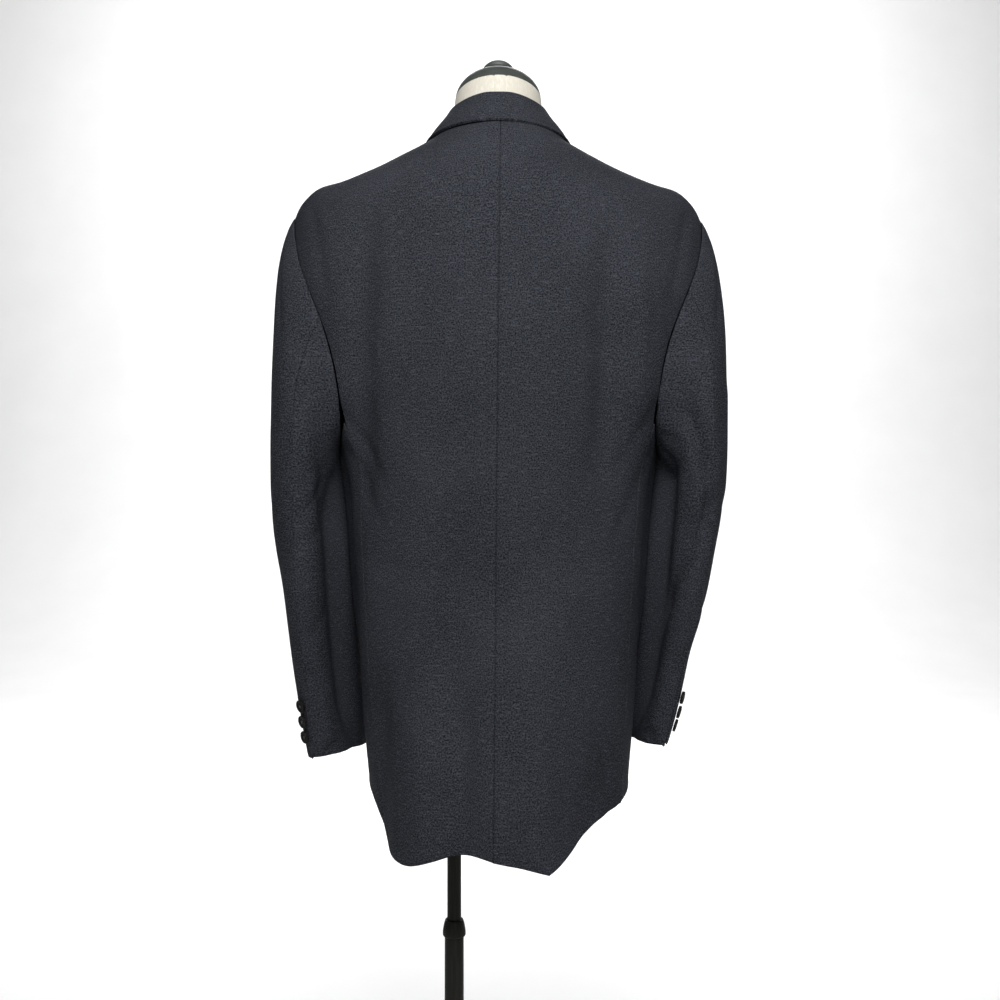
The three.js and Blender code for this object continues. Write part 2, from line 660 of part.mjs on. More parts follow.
function sleeveOval(side, round, along) {
  const row = Object.fromEntries(sleeveColumns.map((column) => [column, sleeveRow[side][column](along)]));
  const half = (row.outX - row.inX) / 2;
  const turn = degToRad(row.turnIn);
  const taken = row.deep * Math.sin(turn);
  const thickSquared = Math.max(half * half - taken * taken, HALF_THICKNESS_LEAST ** 2);
  const thick = Math.sqrt(thickSquared) / Math.cos(turn);
  const across = thick * Math.cos(degToRad(round));
  const forward = -row.deep * Math.sin(degToRad(round));
  const x = (row.outX + row.inX) / 2 + across * Math.cos(turn) - forward * Math.sin(turn);
  const y = row.midY + across * Math.sin(turn) + forward * Math.cos(turn);
  const z = lerp(row.inZ, row.outZ, (1 + Math.cos(degToRad(round))) / 2);
  return new THREE.Vector3(signOf[side] * x, y, z);
}

function sleeveShape(side, round, along) {
  const point = sleeveOval(side, round, along);
  const seam = bodyShape(side, armholeTurn(round), armholeLevel(round)).sub(sleeveOval(side, round, 0));
  const share = 1 - smoothstep(along, 0, CAP_FADE);
  point.addScaledVector(seam, share);
  point.x += signOf[side] * SLEEVE_SEAM_GAP * share;
  return point;
}

function sleeveOutward(surface, side, round, along) {
  return outwardOf(surface, round, Math.max(along, 0.004), 1, 0.004, signOf[side]);
}

function sleevePoint(side, round, along, distance = 0) {
  const shape = (a, b) => sleeveShape(side, a, b);
  const folded = (a, b) => {
    const lift = sleeveFoldLift(side, a, b);
    return shape(a, b).addScaledVector(sleeveOutward(shape, side, a, b), lift);
  };
  return folded(round, along).addScaledVector(sleeveOutward(folded, side, round, along), distance);
}

// The seams of the two-piece sleeve: the back one shows, the front one is turned under.
const BACK_SEAM_ROUND = { left: 88, right: 72 };
const FRONT_SEAM_ROUND = 258;
const CAP_TRIM = 0.003;

function sleeve(side, from, to, columns) {
  const alongs = [...steps(0, 0.34, 7), ...steps(0.34, 1, 10).slice(1)];
  return clothWall(alongs, steps(from, to, columns), (along, round, distance) => {
    const start = CAP_TRIM * Math.max(Math.cos(degToRad(round)), 0);
    return sleevePoint(side, round, Math.max(along, start), distance);
  }, SEAM_GAP);
}

for (const side of ['left', 'right']) {
  add(coatAndForm, `back_${side}`, back(side), wool);
  add(coatAndForm, `side_${side}`, sidePanel(side), wool);
  add(coatAndForm, `front_${side}`, front(side), wool);
  add(coatAndForm, `lapel_${side}`, lapel(side), wool);
  const topSleeve = sleeve(side, FRONT_SEAM_ROUND - 360, BACK_SEAM_ROUND[side], 12);
  const underSleeve = sleeve(side, BACK_SEAM_ROUND[side], FRONT_SEAM_ROUND, 8);
  add(coatAndForm, `sleeve_top_${side}`, topSleeve, wool);
  add(coatAndForm, `sleeve_under_${side}`, underSleeve, wool);
}
add(coatAndForm, 'collar', collar(), wool);

// Pocket flaps and breast welt, made from the front's own points and moved out

const FLAP = { fromTurn: 32, toTurn: 74, topZ: 842, height: 52 };
const WELT = { innerX: 88, outerX: 166, bottomZ: 1198, height: 25, rise: 9 };

for (const side of ['left', 'right']) {
  const flap = clothWall(steps(0, 1, 3), steps(FLAP.fromTurn, FLAP.toTurn, 8), (share, turn, distance) => {
    const z = FLAP.topZ - FLAP.height * share;
    return frontPoint(side, turn, z, CLOTH + LAYER_GAP + distance);
  });
  add(coatAndForm, `flap_${side}`, flap, wool);
}
const welt = clothWall(steps(0, 1, 2), steps(0, 1, 6), (up, out, distance) => {
  const z = WELT.bottomZ + WELT.height * up + WELT.rise * out;
  const turn = frontTurnAt(lerp(WELT.innerX, WELT.outerX, out), z);
  return frontPoint('left', turn, z, CLOTH + LAYER_GAP + distance);
});
add(coatAndForm, 'breast_welt', welt, wool);

// Buttons: a dished disc with a raised rim

function button(radius, height) {
  const profile = [
    [0, 0],
    [radius * 0.8, 0],
    [radius, height * 0.5],
    [radius * 0.88, height],
    [0, height * 0.8],
  ];
  return turned(profile, 12);
}

function placeButton(name, radius, height, point, outward) {
  const mesh = add(coatAndForm, name, button(radius, height), horn);
  mesh.position.copy(point).addScaledVector(outward, SEAM_GAP);
  mesh.quaternion.setFromUnitVectors(new THREE.Vector3(0, 0, 1), outward);
}

const FRONT_BUTTON = { radius: 10, height: 3.6, levels: [1078, 975] };
const CUFF_BUTTON = { radius: 7.2, height: 3, alongs: [0.955, 0.924, 0.893], fromSeam: 12 };

FRONT_BUTTON.levels.forEach((level, i) => {
  const turn = frontTurnAt(0, level);
  const point = frontPoint('left', turn, level);
  const outward = frontPoint('left', turn, level, 1).sub(point);
  placeButton(`front_button_${i + 1}`, FRONT_BUTTON.radius, FRONT_BUTTON.height, point, outward);
});
for (const side of ['left', 'right']) {
  CUFF_BUTTON.alongs.forEach((along, i) => {
    const round = BACK_SEAM_ROUND[side] - CUFF_BUTTON.fromSeam;
    const point = sleevePoint(side, round, along);
    const outward = sleevePoint(side, round, along, 1).sub(point);
    placeButton(`cuff_button_${side}_${i + 1}`, CUFF_BUTTON.radius, CUFF_BUTTON.height, point, outward);
  });
}

// The form: the coat's own shape drawn in by the cloth and the ease, then the neck above it

const formEaseRows = [
  { z: 700, ease: 30 },
  { z: 820, ease: 24 },
  { z: 1000, ease: 18 },
  { z: 1200, ease: 16 },
  { z: 1260, ease: 11 },
  { z: 1300, ease: 4 },
  { z: 1330, ease: 0.9 },
  { z: 1363, ease: 0.9 },
  { z: 1413, ease: 1.4 },
];
const formEase = columnOf(formEaseRows, 'z', 'ease');
const formNeckRows = [
  { z: 1413, half: 60, back: 70, front: 66 },
  { z: 1420, half: 54.5, back: 60, front: 56 },
  { z: 1429, half: 51.3, back: 54, front: 51.5 },
  { z: 1440, half: 49.8, back: 50.5, front: 49.8 },
  { z: 1452, half: 49.4, back: 49.4, front: 49.4 },
];
const formNeck = columnsOf(formNeckRows, 'z', ['half', 'back', 'front']);
const FORM_SIDES = 36;
const SHOULDER_ROUNDING = 8;

function formTorsoPoint(turn, z) {
  const side = Math.cos(degToRad(turn)) < 0 ? 'left' : 'right';
  const ownTurn = side === 'left' ? 180 - turn : turn;
  const outward = bodyShapeOutward(side, ownTurn, z);
  const point = bodyShape(side, ownTurn, z).addScaledVector(outward, -CLOTH - formEase(z));
  const past = Math.abs(point.x) - FORM_SHOULDER_HALF;
  const held = FORM_SHOULDER_HALF + (past - Math.hypot(past, SHOULDER_ROUNDING)) / 2;
  point.x = Math.sign(point.x) * held;
  return point;
}

function formNeckPoint(turn, z, tilt) {
  const deep = Math.sin(degToRad(turn));
  const depth = deep < 0 ? formNeck.back(z) : formNeck.front(z);
  const x = formNeck.half(z) * Math.cos(degToRad(turn));
  return new THREE.Vector3(x, depth * deep, z - tilt * depth * deep);
}

function formBody() {
  const turns = Array.from({ length: FORM_SIDES }, (_, i) => (i * 360) / FORM_SIDES - 90);
  const torsoLevels = [...steps(FORM_BOTTOM_LEVEL, 1290, 8), ...shoulderLevels];
  const torso = torsoLevels.map((z) => turns.map((turn) => formTorsoPoint(turn, z)));
  const neck = [1420, 1429, 1440, NECK_RIM_LEVEL].map((z) => {
    const tilt = Math.tan(NECK_RIM_TILT) * smoothstep(z, 1413, NECK_RIM_LEVEL);
    return turns.map((turn) => formNeckPoint(turn, z, tilt));
  });
  const poleX = -COAT_MIDDLE_X;
  const socket = [FORM_BOTTOM_LEVEL, SOCKET_TOP_LEVEL].map((z) => torso[0].map((point) => {
    const angle = Math.atan2(point.y, point.x - poleX);
    return new THREE.Vector3(poleX + SOCKET_RADIUS * Math.cos(angle), SOCKET_RADIUS * Math.sin(angle), z);
  }));
  return solidThroughRings([...neck.reverse(), ...torso.reverse(), ...socket]);
}

const CAP_SEAT_RADIUS = 14;

function formCap() {
  const endAngle = Math.acos(CAP_SEAT_RADIUS / NECK_RADIUS);
  const dome = steps(0, endAngle, 7).map((angle) => (
    [NECK_RADIUS * Math.cos(angle), CAP_HEIGHT * Math.sin(angle)]
  ));
  return turned([[0, 0], ...dome, [0, dome.at(-1)[1]]], 28);
}

function formKnob() {
  const profile = [
    [0, 0],
    [KNOB_RADIUS * 0.85, 0],
    [KNOB_RADIUS, KNOB_HEIGHT * 0.25],
    [KNOB_RADIUS, KNOB_HEIGHT * 0.6],
    [KNOB_RADIUS * 0.82, KNOB_HEIGHT * 0.92],
    [0, KNOB_HEIGHT],
  ];
  return turned(profile, 24);
}

add(coatAndForm, 'form_body', formBody(), jersey);
const headPiece = new THREE.Group();
headPiece.position.z = NECK_RIM_LEVEL;
headPiece.rotation.x = -NECK_RIM_TILT;
coatAndForm.add(headPiece);
const cap = add(headPiece, 'form_cap', formCap(), capPaint);
cap.position.z = SEAM_GAP;
const knob = add(headPiece, 'form_knob', formKnob(), capPaint);
knob.position.z = CAP_HEIGHT * Math.sin(Math.acos(CAP_SEAT_RADIUS / NECK_RADIUS)) + 2 * SEAM_GAP;

// The stand: a heavy round base, a lower tube, a clamp collar and a mast that slides and turns

const BASE_SEAT_LEVEL = 10;

function standBase() {
  const profile = [
    [0, 0],
    [BASE_RADIUS, 0],
    [BASE_RADIUS, BASE_EDGE_HEIGHT * 0.7],
    [BASE_RADIUS - 3, BASE_EDGE_HEIGHT],
    [TUBE_RADIUS + 12, BASE_EDGE_HEIGHT + 5],
    [TUBE_RADIUS + 6, BASE_EDGE_HEIGHT + 9],
    [TUBE_RADIUS + 4, BASE_BOSS_HEIGHT],
    [TUBE_RADIUS + SEAM_GAP, BASE_BOSS_HEIGHT],
    [TUBE_RADIUS + SEAM_GAP, BASE_SEAT_LEVEL],
    [0, BASE_SEAT_LEVEL],
  ];
  return turned(profile, 40);
}

function standTube() {
  const bottom = BASE_SEAT_LEVEL + SEAM_GAP;
  const profile = [
    [TUBE_BORE_RADIUS, bottom],
    [TUBE_RADIUS, bottom],
    [TUBE_RADIUS, TUBE_TOP_LEVEL],
    [TUBE_BORE_RADIUS, TUBE_TOP_LEVEL],
    [TUBE_BORE_RADIUS, bottom],
  ];
  return turned(profile, 24);
}

function standCollar() {
  const bottom = TUBE_TOP_LEVEL + SEAM_GAP;
  const profile = [
    [TUBE_BORE_RADIUS, bottom],
    [COLLAR_RADIUS - 1, bottom],
    [COLLAR_RADIUS, bottom + 1.5],
    [COLLAR_RADIUS, bottom + 7],
    [COLLAR_RADIUS - 1.6, COLLAR_TOP_LEVEL - 4],
    [COLLAR_RADIUS - 3, COLLAR_TOP_LEVEL],
    [TUBE_BORE_RADIUS, COLLAR_TOP_LEVEL],
    [TUBE_BORE_RADIUS, bottom],
  ];
  return turned(profile, 24);
}

function standMast() {
  const top = SOCKET_TOP_LEVEL - SEAM_GAP;
  return turned([[0, MAST_FOOT_LEVEL], [MAST_RADIUS, MAST_FOOT_LEVEL], [MAST_RADIUS, top], [0, top]], 24);
}

add(stand, 'stand_base', standBase(), enamel);
add(stand, 'stand_tube', standTube(), enamel);
add(stand, 'stand_collar', standCollar(), enamel);
add(stand, 'stand_mast', standMast(), enamel);

export default sportCoat;
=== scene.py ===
"""A charcoal sport coat worn by a limbless dress form on a pole stand, seen from behind."""

import math

import bmesh
import bpy
import numpy as np
from mathutils import Matrix, Vector
from mathutils.kdtree import KDTree


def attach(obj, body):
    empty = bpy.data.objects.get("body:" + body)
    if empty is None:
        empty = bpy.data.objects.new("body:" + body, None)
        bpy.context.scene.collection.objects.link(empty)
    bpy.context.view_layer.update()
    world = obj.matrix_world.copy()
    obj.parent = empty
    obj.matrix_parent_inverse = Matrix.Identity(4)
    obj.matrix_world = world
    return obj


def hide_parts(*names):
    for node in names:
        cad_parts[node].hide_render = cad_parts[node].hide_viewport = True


bl_info = {
    "name": "Sport coat on a dress form",
    "version": (1, 0, 0),
    "blender": (4, 5, 0),
    "location": "3D View > Sidebar > Sport coat",
    "description": "Dresses the frame of a sport coat, its form and its pole stand",
    "category": "Object",
}

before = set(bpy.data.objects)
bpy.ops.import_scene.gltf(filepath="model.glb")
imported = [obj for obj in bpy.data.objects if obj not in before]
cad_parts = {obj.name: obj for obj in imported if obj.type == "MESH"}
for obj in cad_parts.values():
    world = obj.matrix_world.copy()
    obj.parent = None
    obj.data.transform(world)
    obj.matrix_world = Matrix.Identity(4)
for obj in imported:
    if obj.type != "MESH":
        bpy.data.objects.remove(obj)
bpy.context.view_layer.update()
SIDES = ("left", "right")
SIDE_SIGN = {"left": -1.0, "right": 1.0}
MM = 0.001
COAT_MIDDLE_X = 50.0
FORM_BODY = "form"


# Sizes and colours that a user would change

class CoatSettings(bpy.types.PropertyGroup):
    cloth_thickness: bpy.props.FloatProperty(
        name="Cloth thickness", description="Cloth, canvas and lining together",
        default=0.0018, min=0.001, max=0.003, unit="LENGTH")
    seam_dip: bpy.props.FloatProperty(
        name="Seam dip", description="How far the cloth sinks along a pressed seam",
        default=0.0004, min=0.0, max=0.002, unit="LENGTH")
    edge_roll: bpy.props.FloatProperty(
        name="Edge roll", description="How far a cut edge is rolled under",
        default=0.0015, min=0.0, max=0.002, unit="LENGTH")
    seam_reach: bpy.props.FloatProperty(
        name="Seam reach", description="How far from a seam the cloth starts to sink",
        default=0.0032, min=0.001, max=0.01, unit="LENGTH")
    fineness: bpy.props.IntProperty(
        name="Fineness", description="Subdivision levels of the cloth", default=3, min=1, max=3)
    dark_thread: bpy.props.StringProperty(
        name="Dark thread", description="sRGB colour of the darker yarn", default="#16181c")
    pale_thread: bpy.props.StringProperty(
        name="Pale thread", description="sRGB colour of the paler yarn", default="#42444b")
    lining: bpy.props.StringProperty(
        name="Lining", description="sRGB colour of the lining", default="#1d1f27")
    horn: bpy.props.StringProperty(
        name="Horn", description="sRGB colour of the buttons", default="#121112")


class FormSettings(bpy.types.PropertyGroup):
    jersey: bpy.props.StringProperty(
        name="Jersey", description="sRGB colour of the form's cover", default="#d1ccbf")
    cap: bpy.props.StringProperty(
        name="Cap", description="sRGB colour of the neck cap and knob", default="#414542")
    enamel: bpy.props.StringProperty(
        name="Enamel", description="sRGB colour of the stand", default="#1f1f1b")


class StageSettings(bpy.types.PropertyGroup):
    camera_distance: bpy.props.FloatProperty(
        name="Camera distance", description="From the pole's axis, behind the coat",
        default=1.25, min=0.5, max=5.0, unit="LENGTH")
    camera_height: bpy.props.FloatProperty(
        name="Camera height", description="Above the floor", default=1.0, min=0.2, max=2.0, unit="LENGTH")
    lens: bpy.props.FloatProperty(
        name="Lens", description="Focal length in millimetres on a 36 mm sensor",
        default=39.6, min=20.0, max=90.0)
    floor: bpy.props.StringProperty(
        name="Floor", description="sRGB colour of the floor and backdrop", default="#f7f7f7")


def coat_settings():
    return bpy.context.scene.sport_coat


def form_settings():
    return bpy.context.scene.dress_form


def stage_settings():
    return bpy.context.scene.coat_stage


# Colours and nodes

def linear(hex_colour, alpha=1.0):
    """An sRGB hex colour as linear values for a shader."""
    channels = [int(hex_colour[i:i + 2], 16) / 255 for i in (1, 3, 5)]
    return [c / 12.92 if c <= 0.04045 else ((c + 0.055) / 1.055) ** 2.4 for c in channels] + [alpha]


def add_node(tree, kind, inputs=None, **settings):
    """Adds one node with its settings. Each input is a plain value or another node's socket."""
    new = tree.nodes.new(kind)
    for name, value in settings.items():
        setattr(new, name, value)
    for key, value in (inputs or {}).items():
        if isinstance(value, bpy.types.NodeSocket):
            tree.links.new(value, new.inputs[key])
        else:
            new.inputs[key].default_value = value
    return new


def blank_material(name):
    """A material with an empty tree and its output node."""
    material = bpy.data.materials.new(name)
    material.use_nodes = True
    material.node_tree.nodes.clear()
    return material, material.node_tree, add_node(material.node_tree, "ShaderNodeOutputMaterial")


def ramped(tree, value, stops):
    """A value turned into a colour by a ramp of places and colours."""
    ramp = add_node(tree, "ShaderNodeValToRGB", {"Fac": value})
    elements = ramp.color_ramp.elements
    while len(elements) < len(stops):
        elements.new(0.5)
    for element, (place, colour) in zip(elements, stops):
        element.position = place
        element.color = colour
    return ramp.outputs[0]


def object_place(tree):
    return add_node(tree, "ShaderNodeTexCoord").outputs["Object"]


def cloth_place(tree):
    return add_node(tree, "ShaderNodeUVMap", uv_map="grain").outputs[0]


def stretched(tree, place, scale):
    return add_node(tree, "ShaderNodeMapping", {"Vector": place, "Scale": scale}).outputs[0]


def noise(tree, place, scale=1.0, detail=2.0):
    return add_node(tree, "ShaderNodeTexNoise", {
        "Vector": place, "Scale": scale, "Detail": detail}).outputs[0]


def blended(tree, share, first, second):
    return add_node(tree, "ShaderNodeMix", {0: share, 2: first, 3: second}, data_type="FLOAT").outputs[0]


def summed(tree, first, second):
    return add_node(tree, "ShaderNodeMath", {0: first, 1: second}, operation="ADD").outputs[0]


def between(tree, value, low, high, start=0.0, end=1.0):
    """A value mapped from start to end onto low to high."""
    return add_node(tree, "ShaderNodeMapRange", {
        "Value": value, "From Min": start, "From Max": end, "To Min": low, "To Max": high}).outputs[0]


def relief(tree, height, strength, distance):
    return add_node(tree, "ShaderNodeBump", {
        "Height": height, "Strength": strength, "Distance": distance}).outputs[0]


def surface(tree, output, inputs):
    """The shader that a material ends in."""
    shader = add_node(tree, "ShaderNodeBsdfPrincipled", inputs)
    tree.links.new(shader.outputs[0], output.inputs[0])


def wool_linen():
    """Wool and linen plain weave, piece dyed and pressed.

    Real: yarns about 0.4 mm apart, paler slubs along the weft and a dry, hairy face.
    The yarns are drawn 2 to 3 mm long and the slubs 25 mm long, because finer ones would not show.
    """
    settings = coat_settings()
    material, tree, output = blank_material("wool_linen_plain_weave")
    uv = cloth_place(tree)
    weft = noise(tree, stretched(tree, uv, (560, 800, 1)))
    warp = noise(tree, stretched(tree, uv, (800, 520, 1)))
    slub = noise(tree, stretched(tree, uv, (90, 620, 1)), detail=1.0)
    wear = noise(tree, uv, 9.0, 3.0)
    yarns = summed(tree, blended(tree, 0.5, weft, warp), between(tree, slub, 0.0, 0.13, 0.56, 0.78))
    shade = summed(tree, yarns, between(tree, wear, -0.02, 0.02, 0.3, 0.7))
    stops = [(0.41, linear(settings.dark_thread)), (0.63, linear(settings.pale_thread))]
    surface(tree, output, {
        "Base Color": ramped(tree, shade, stops), "Roughness": between(tree, yarns, 0.96, 0.84, 0.3, 0.8),
        "Normal": relief(tree, yarns, 0.5, 0.001), "IOR": 1.5, "Specular IOR Level": 0.08,
        "Sheen Weight": 0.015, "Sheen Roughness": 0.5, "Sheen Tint": linear("#8a90a0")})
    return material


def viscose_lining():
    """Viscose twill lining, woven from bright filament.

    Real: a smooth slippery face with a soft shine and a fine diagonal that is drawn 1.5 mm apart.
    """
    material, tree, output = blank_material("viscose_twill_lining")
    twill = add_node(tree, "ShaderNodeTexWave", {
        "Vector": cloth_place(tree), "Scale": 105.0, "Distortion": 1.2, "Detail": 1.0},
        bands_direction="DIAGONAL").outputs["Fac"]
    stops = [(0.2, linear("#171920")), (0.9, linear(coat_settings().lining))]
    surface(tree, output, {
        "Base Color": ramped(tree, twill, stops), "Roughness": 0.42,
        "Normal": relief(tree, twill, 0.2, 0.0003), "Sheen Weight": 0.1})
    return material


def polished_horn():
    """Polished dark horn, turned and drilled.

    Real: nearly black with brown streaks, duller in the dish.
    """
    material, tree, output = blank_material("polished_dark_horn")
    streaks = noise(tree, stretched(tree, object_place(tree), (140, 140, 420)), detail=4.0)
    stops = [(0.35, linear(coat_settings().horn)), (0.62, linear("#1b1817")), (0.8, linear("#2a2421"))]
    surface(tree, output, {
        "Base Color": ramped(tree, streaks, stops), "Roughness": between(tree, streaks, 0.5, 0.68),
        "IOR": 1.54, "Specular IOR Level": 0.1})
    return material


def silk_thread():
    """Twisted silk thread. Real: a soft lustre with a twist that is drawn 1 mm apart."""
    material, tree, output = blank_material("twisted_silk_thread")
    twist = add_node(tree, "ShaderNodeTexWave", {
        "Vector": object_place(tree), "Scale": 160.0, "Distortion": 2.0},
        bands_direction="DIAGONAL").outputs["Fac"]
    stops = [(0.1, linear("#16171b")), (0.9, linear("#30323a"))]
    surface(tree, output, {
        "Base Color": ramped(tree, twist, stops), "Roughness": 0.55,
        "Normal": relief(tree, twist, 0.5, 0.0003), "Sheen Weight": 0.3})
    return material


def cotton_jersey():
    """Cream cotton jersey, knitted and stretched over the form.

    Real: matte, with fine vertical ribs of stitches that are drawn 1.6 mm apart, and handled edges.
    """
    material, tree, output = blank_material("cotton_jersey")
    place = object_place(tree)
    knit = noise(tree, stretched(tree, place, (620, 620, 190)))
    soil = noise(tree, place, 26.0, 4.0)
    stops = [(0.3, linear("#c9c3b3")), (0.55, linear(form_settings().jersey)), (0.8, linear("#e9e5da"))]
    surface(tree, output, {
        "Base Color": ramped(tree, blended(tree, 0.45, knit, soil), stops), "Roughness": 0.92,
        "Normal": relief(tree, knit, 0.35, 0.0006), "Sheen Weight": 0.15})
    return material


def painted_wood():
    """Turned wood under a satin paint.

    Real: dark grey-green, with faint turning rings and a few rubbed spots.
    """
    material, tree, output = blank_material("satin_painted_wood")
    place = object_place(tree)
    rings = noise(tree, stretched(tree, place, (60, 60, 500)), detail=3.0)
    rubbed = noise(tree, place, 70.0, 5.0)
    stops = [(0.35, linear("#383d3a")), (0.6, linear(form_settings().cap)), (0.8, linear("#5c625d"))]
    surface(tree, output, {
        "Base Color": ramped(tree, blended(tree, 0.5, rings, rubbed), stops),
        "Roughness": between(tree, rubbed, 0.42, 0.62), "Normal": relief(tree, rings, 0.15, 0.0005)})
    return material


def stove_enamel():
    """Black enamel sprayed on steel.

    Real: a satin black with a faint orange peel and paler scuffs where the mast slides.
    """
    material, tree, output = blank_material("black_enamel_on_steel")
    place = object_place(tree)
    peel = noise(tree, place, 520.0)
    scuffs = noise(tree, stretched(tree, place, (260, 260, 14)), detail=5.0)
    stops = [(0.5, linear(form_settings().enamel)), (0.72, linear("#2c2c28")), (0.86, linear("#4b4a45"))]
    surface(tree, output, {
        "Base Color": ramped(tree, scuffs, stops), "Roughness": between(tree, scuffs, 0.55, 0.7, 0.3, 0.8),
        "Normal": relief(tree, peel, 0.12, 0.0003), "Specular IOR Level": 0.15})
    return material


def studio_paper():
    """Seamless background paper. Real: matte white with a faint tooth."""
    material, tree, output = blank_material("seamless_white_paper")
    tooth = noise(tree, object_place(tree), 3.0, 4.0)
    stops = [(0.2, linear("#f2f2f2")), (0.8, linear(stage_settings().floor))]
    surface(tree, output, {
        "Base Color": ramped(tree, tooth, stops), "Roughness": 0.95, "Specular IOR Level": 0.1})
    return material


MADE = {}


def finish_of(make):
    """Each finish is made once and shared."""
    if make.__name__ not in MADE:
        MADE[make.__name__] = make()
    return MADE[make.__name__]


# Handling objects

def clear_selection():
    bpy.ops.object.select_all(action="DESELECT")


def take_up(thing):
    """Makes one object the only selected and active one."""
    clear_selection()
    thing.select_set(True)
    bpy.context.view_layer.objects.active = thing
    return thing


def apply_modifier(thing, kind, **settings):
    """Adds a modifier, sets it and applies it."""
    take_up(thing)
    modifier = thing.modifiers.new(kind.lower(), kind)
    for name, value in settings.items():
        setattr(modifier, name, value)
    bpy.ops.object.modifier_apply(modifier=modifier.name)


def wear_finish(thing, *makers):
    """Gives an object its materials in order."""
    thing.data.materials.clear()
    for make in makers:
        thing.data.materials.append(finish_of(make))


def seat(thing, name, body, nodes=()):
    """Names a finished piece, lets it ride on its body and stand for its nodes."""
    thing.name = name
    thing.data.name = name
    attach(thing, body)
    if nodes:
        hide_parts(*nodes)
    return thing


def points_of(mesh):
    flat = np.empty(len(mesh.vertices) * 3)
    mesh.vertices.foreach_get("co", flat)
    return flat.reshape(-1, 3)


def normals_of(mesh):
    flat = np.empty(len(mesh.vertices) * 3)
    mesh.vertices.foreach_get("normal", flat)
    return flat.reshape(-1, 3)


def set_points(mesh, points):
    mesh.vertices.foreach_set("co", points.ravel())
    mesh.update()


def ease(value, low, high):
    """A smooth step from 0 at low to 1 at high."""
    share = np.clip((value - low) / (high - low), 0.0, 1.0)
    return share * share * (3 - 2 * share)


# The cloth of the coat

RIM_ANGLE = math.radians(50)


def smooth_islands(mesh):
    """The sets of faces that hang together without a sharp edge between them."""
    waiting = set(mesh.faces)
    found = []
    while waiting:
        start = waiting.pop()
        island = [start]
        queue = [start]
        while queue:
            face = queue.pop()
            for edge in face.edges:
                if edge.calc_face_angle(math.pi) > RIM_ANGLE:
                    continue
                for neighbour in edge.link_faces:
                    if neighbour in waiting:
                        waiting.discard(neighbour)
                        island.append(neighbour)
                        queue.append(neighbour)
        found.append(island)
    return sorted(found, key=lambda faces: sum(face.calc_area() for face in faces))


SEAM_TRIM = 0.17 * MM
SLEEVE_TRIM = 0.3 * MM


def close_seams(mesh, trim):
    """Lets neighbouring pieces meet edge to edge, where the solids keep a little apart."""
    moves = []
    for vertex in mesh.verts:
        inner = [edge.other_vert(vertex).co for edge in vertex.link_edges if not edge.is_boundary]
        if vertex.is_boundary and len(inner) == 1:
            moves.append((vertex, (vertex.co - inner[0]).normalized() * trim))
    for vertex, move in moves:
        vertex.co += move


ROLL_WIDTH = 1.1 * MM
FIRST_INSET = 0.05 * MM


def add_edge_roll(thing):
    """A narrow band of faces along every edge, and how far each point is rolled under."""
    mesh = bmesh.new()
    mesh.from_mesh(thing.data)
    rolled = mesh.verts.layers.float.new("rolled")
    bmesh.ops.inset_region(mesh, faces=mesh.faces, thickness=FIRST_INSET, use_boundary=True,
                           use_even_offset=False)
    edge = {vertex for vertex in mesh.verts if vertex.is_boundary}
    band = {}
    for vertex in edge:
        inner = [link.other_vert(vertex) for link in vertex.link_edges if not link.is_boundary]
        if len(inner) == 1:
            band[inner[0]] = vertex
    for ring, vertex in band.items():
        onward = [link.other_vert(ring) for link in ring.link_edges]
        onward = [other.co for other in onward if other not in edge and other not in band]
        if len(onward) == 1:
            reach = (onward[0] - vertex.co).length
            ring.co = vertex.co.lerp(onward[0], min(ROLL_WIDTH / reach, 0.5))
    for vertex in mesh.verts:
        vertex[rolled] = 1.0 if vertex in edge else 0.0
    mesh.to_mesh(thing.data)
    mesh.free()
    values = np.empty(len(thing.data.vertices))
    thing.data.attributes["rolled"].data.foreach_get("value", values)
    thing.data.attributes.remove(thing.data.attributes["rolled"])
    return values


CORNER_ANGLE = math.radians(140)


def hold_corners(mesh):
    """Keeps the cut corners of a sheet sharp when it is made finer."""
    layer = mesh.verts.layers.float.new("crease_vert")
    for vertex in mesh.verts:
        ends = [edge.other_vert(vertex).co - vertex.co for edge in vertex.link_edges if edge.is_boundary]
        if len(ends) == 2 and ends[0].angle(ends[1]) < CORNER_ANGLE:
            vertex[layer] = 1.0


def outer_sheet(node, name):
    """The outer face of a cloth wall, as an open sheet of four-sided faces."""
    sheet = bpy.data.meshes.new(name)
    mesh = bmesh.new()
    mesh.from_mesh(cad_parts[node].data)
    bmesh.ops.remove_doubles(mesh, verts=mesh.verts, dist=0.01 * MM)
    mesh.normal_update()
    islands = smooth_islands(mesh)
    spare = [face for island in islands[:-1] for face in island]
    bmesh.ops.delete(mesh, geom=spare, context="FACES")
    bmesh.ops.join_triangles(mesh, faces=mesh.faces, angle_face_threshold=math.radians(60),
                             angle_shape_threshold=math.pi, topology_influence=1.5)
    close_seams(mesh, SLEEVE_TRIM if node.startswith("sleeve") else SEAM_TRIM)
    hold_corners(mesh)
    mesh.to_mesh(sheet)
    mesh.free()
    thing = bpy.data.objects.new(name, sheet)
    bpy.context.scene.collection.objects.link(thing)
    return thing


def edge_distance(mesh, points):
    """How far each point is from the sheet's edge, in millimetres."""
    counts = {}
    for polygon in mesh.polygons:
        for key in polygon.edge_keys:
            counts[key] = counts.get(key, 0) + 1
    ends = sorted({vertex for key, count in counts.items() if count == 1 for vertex in key})
    tree = KDTree(len(ends))
    for index, vertex in enumerate(ends):
        tree.insert(points[vertex], index)
    tree.balance()
    return np.array([tree.find(point)[2] for point in points]) / MM


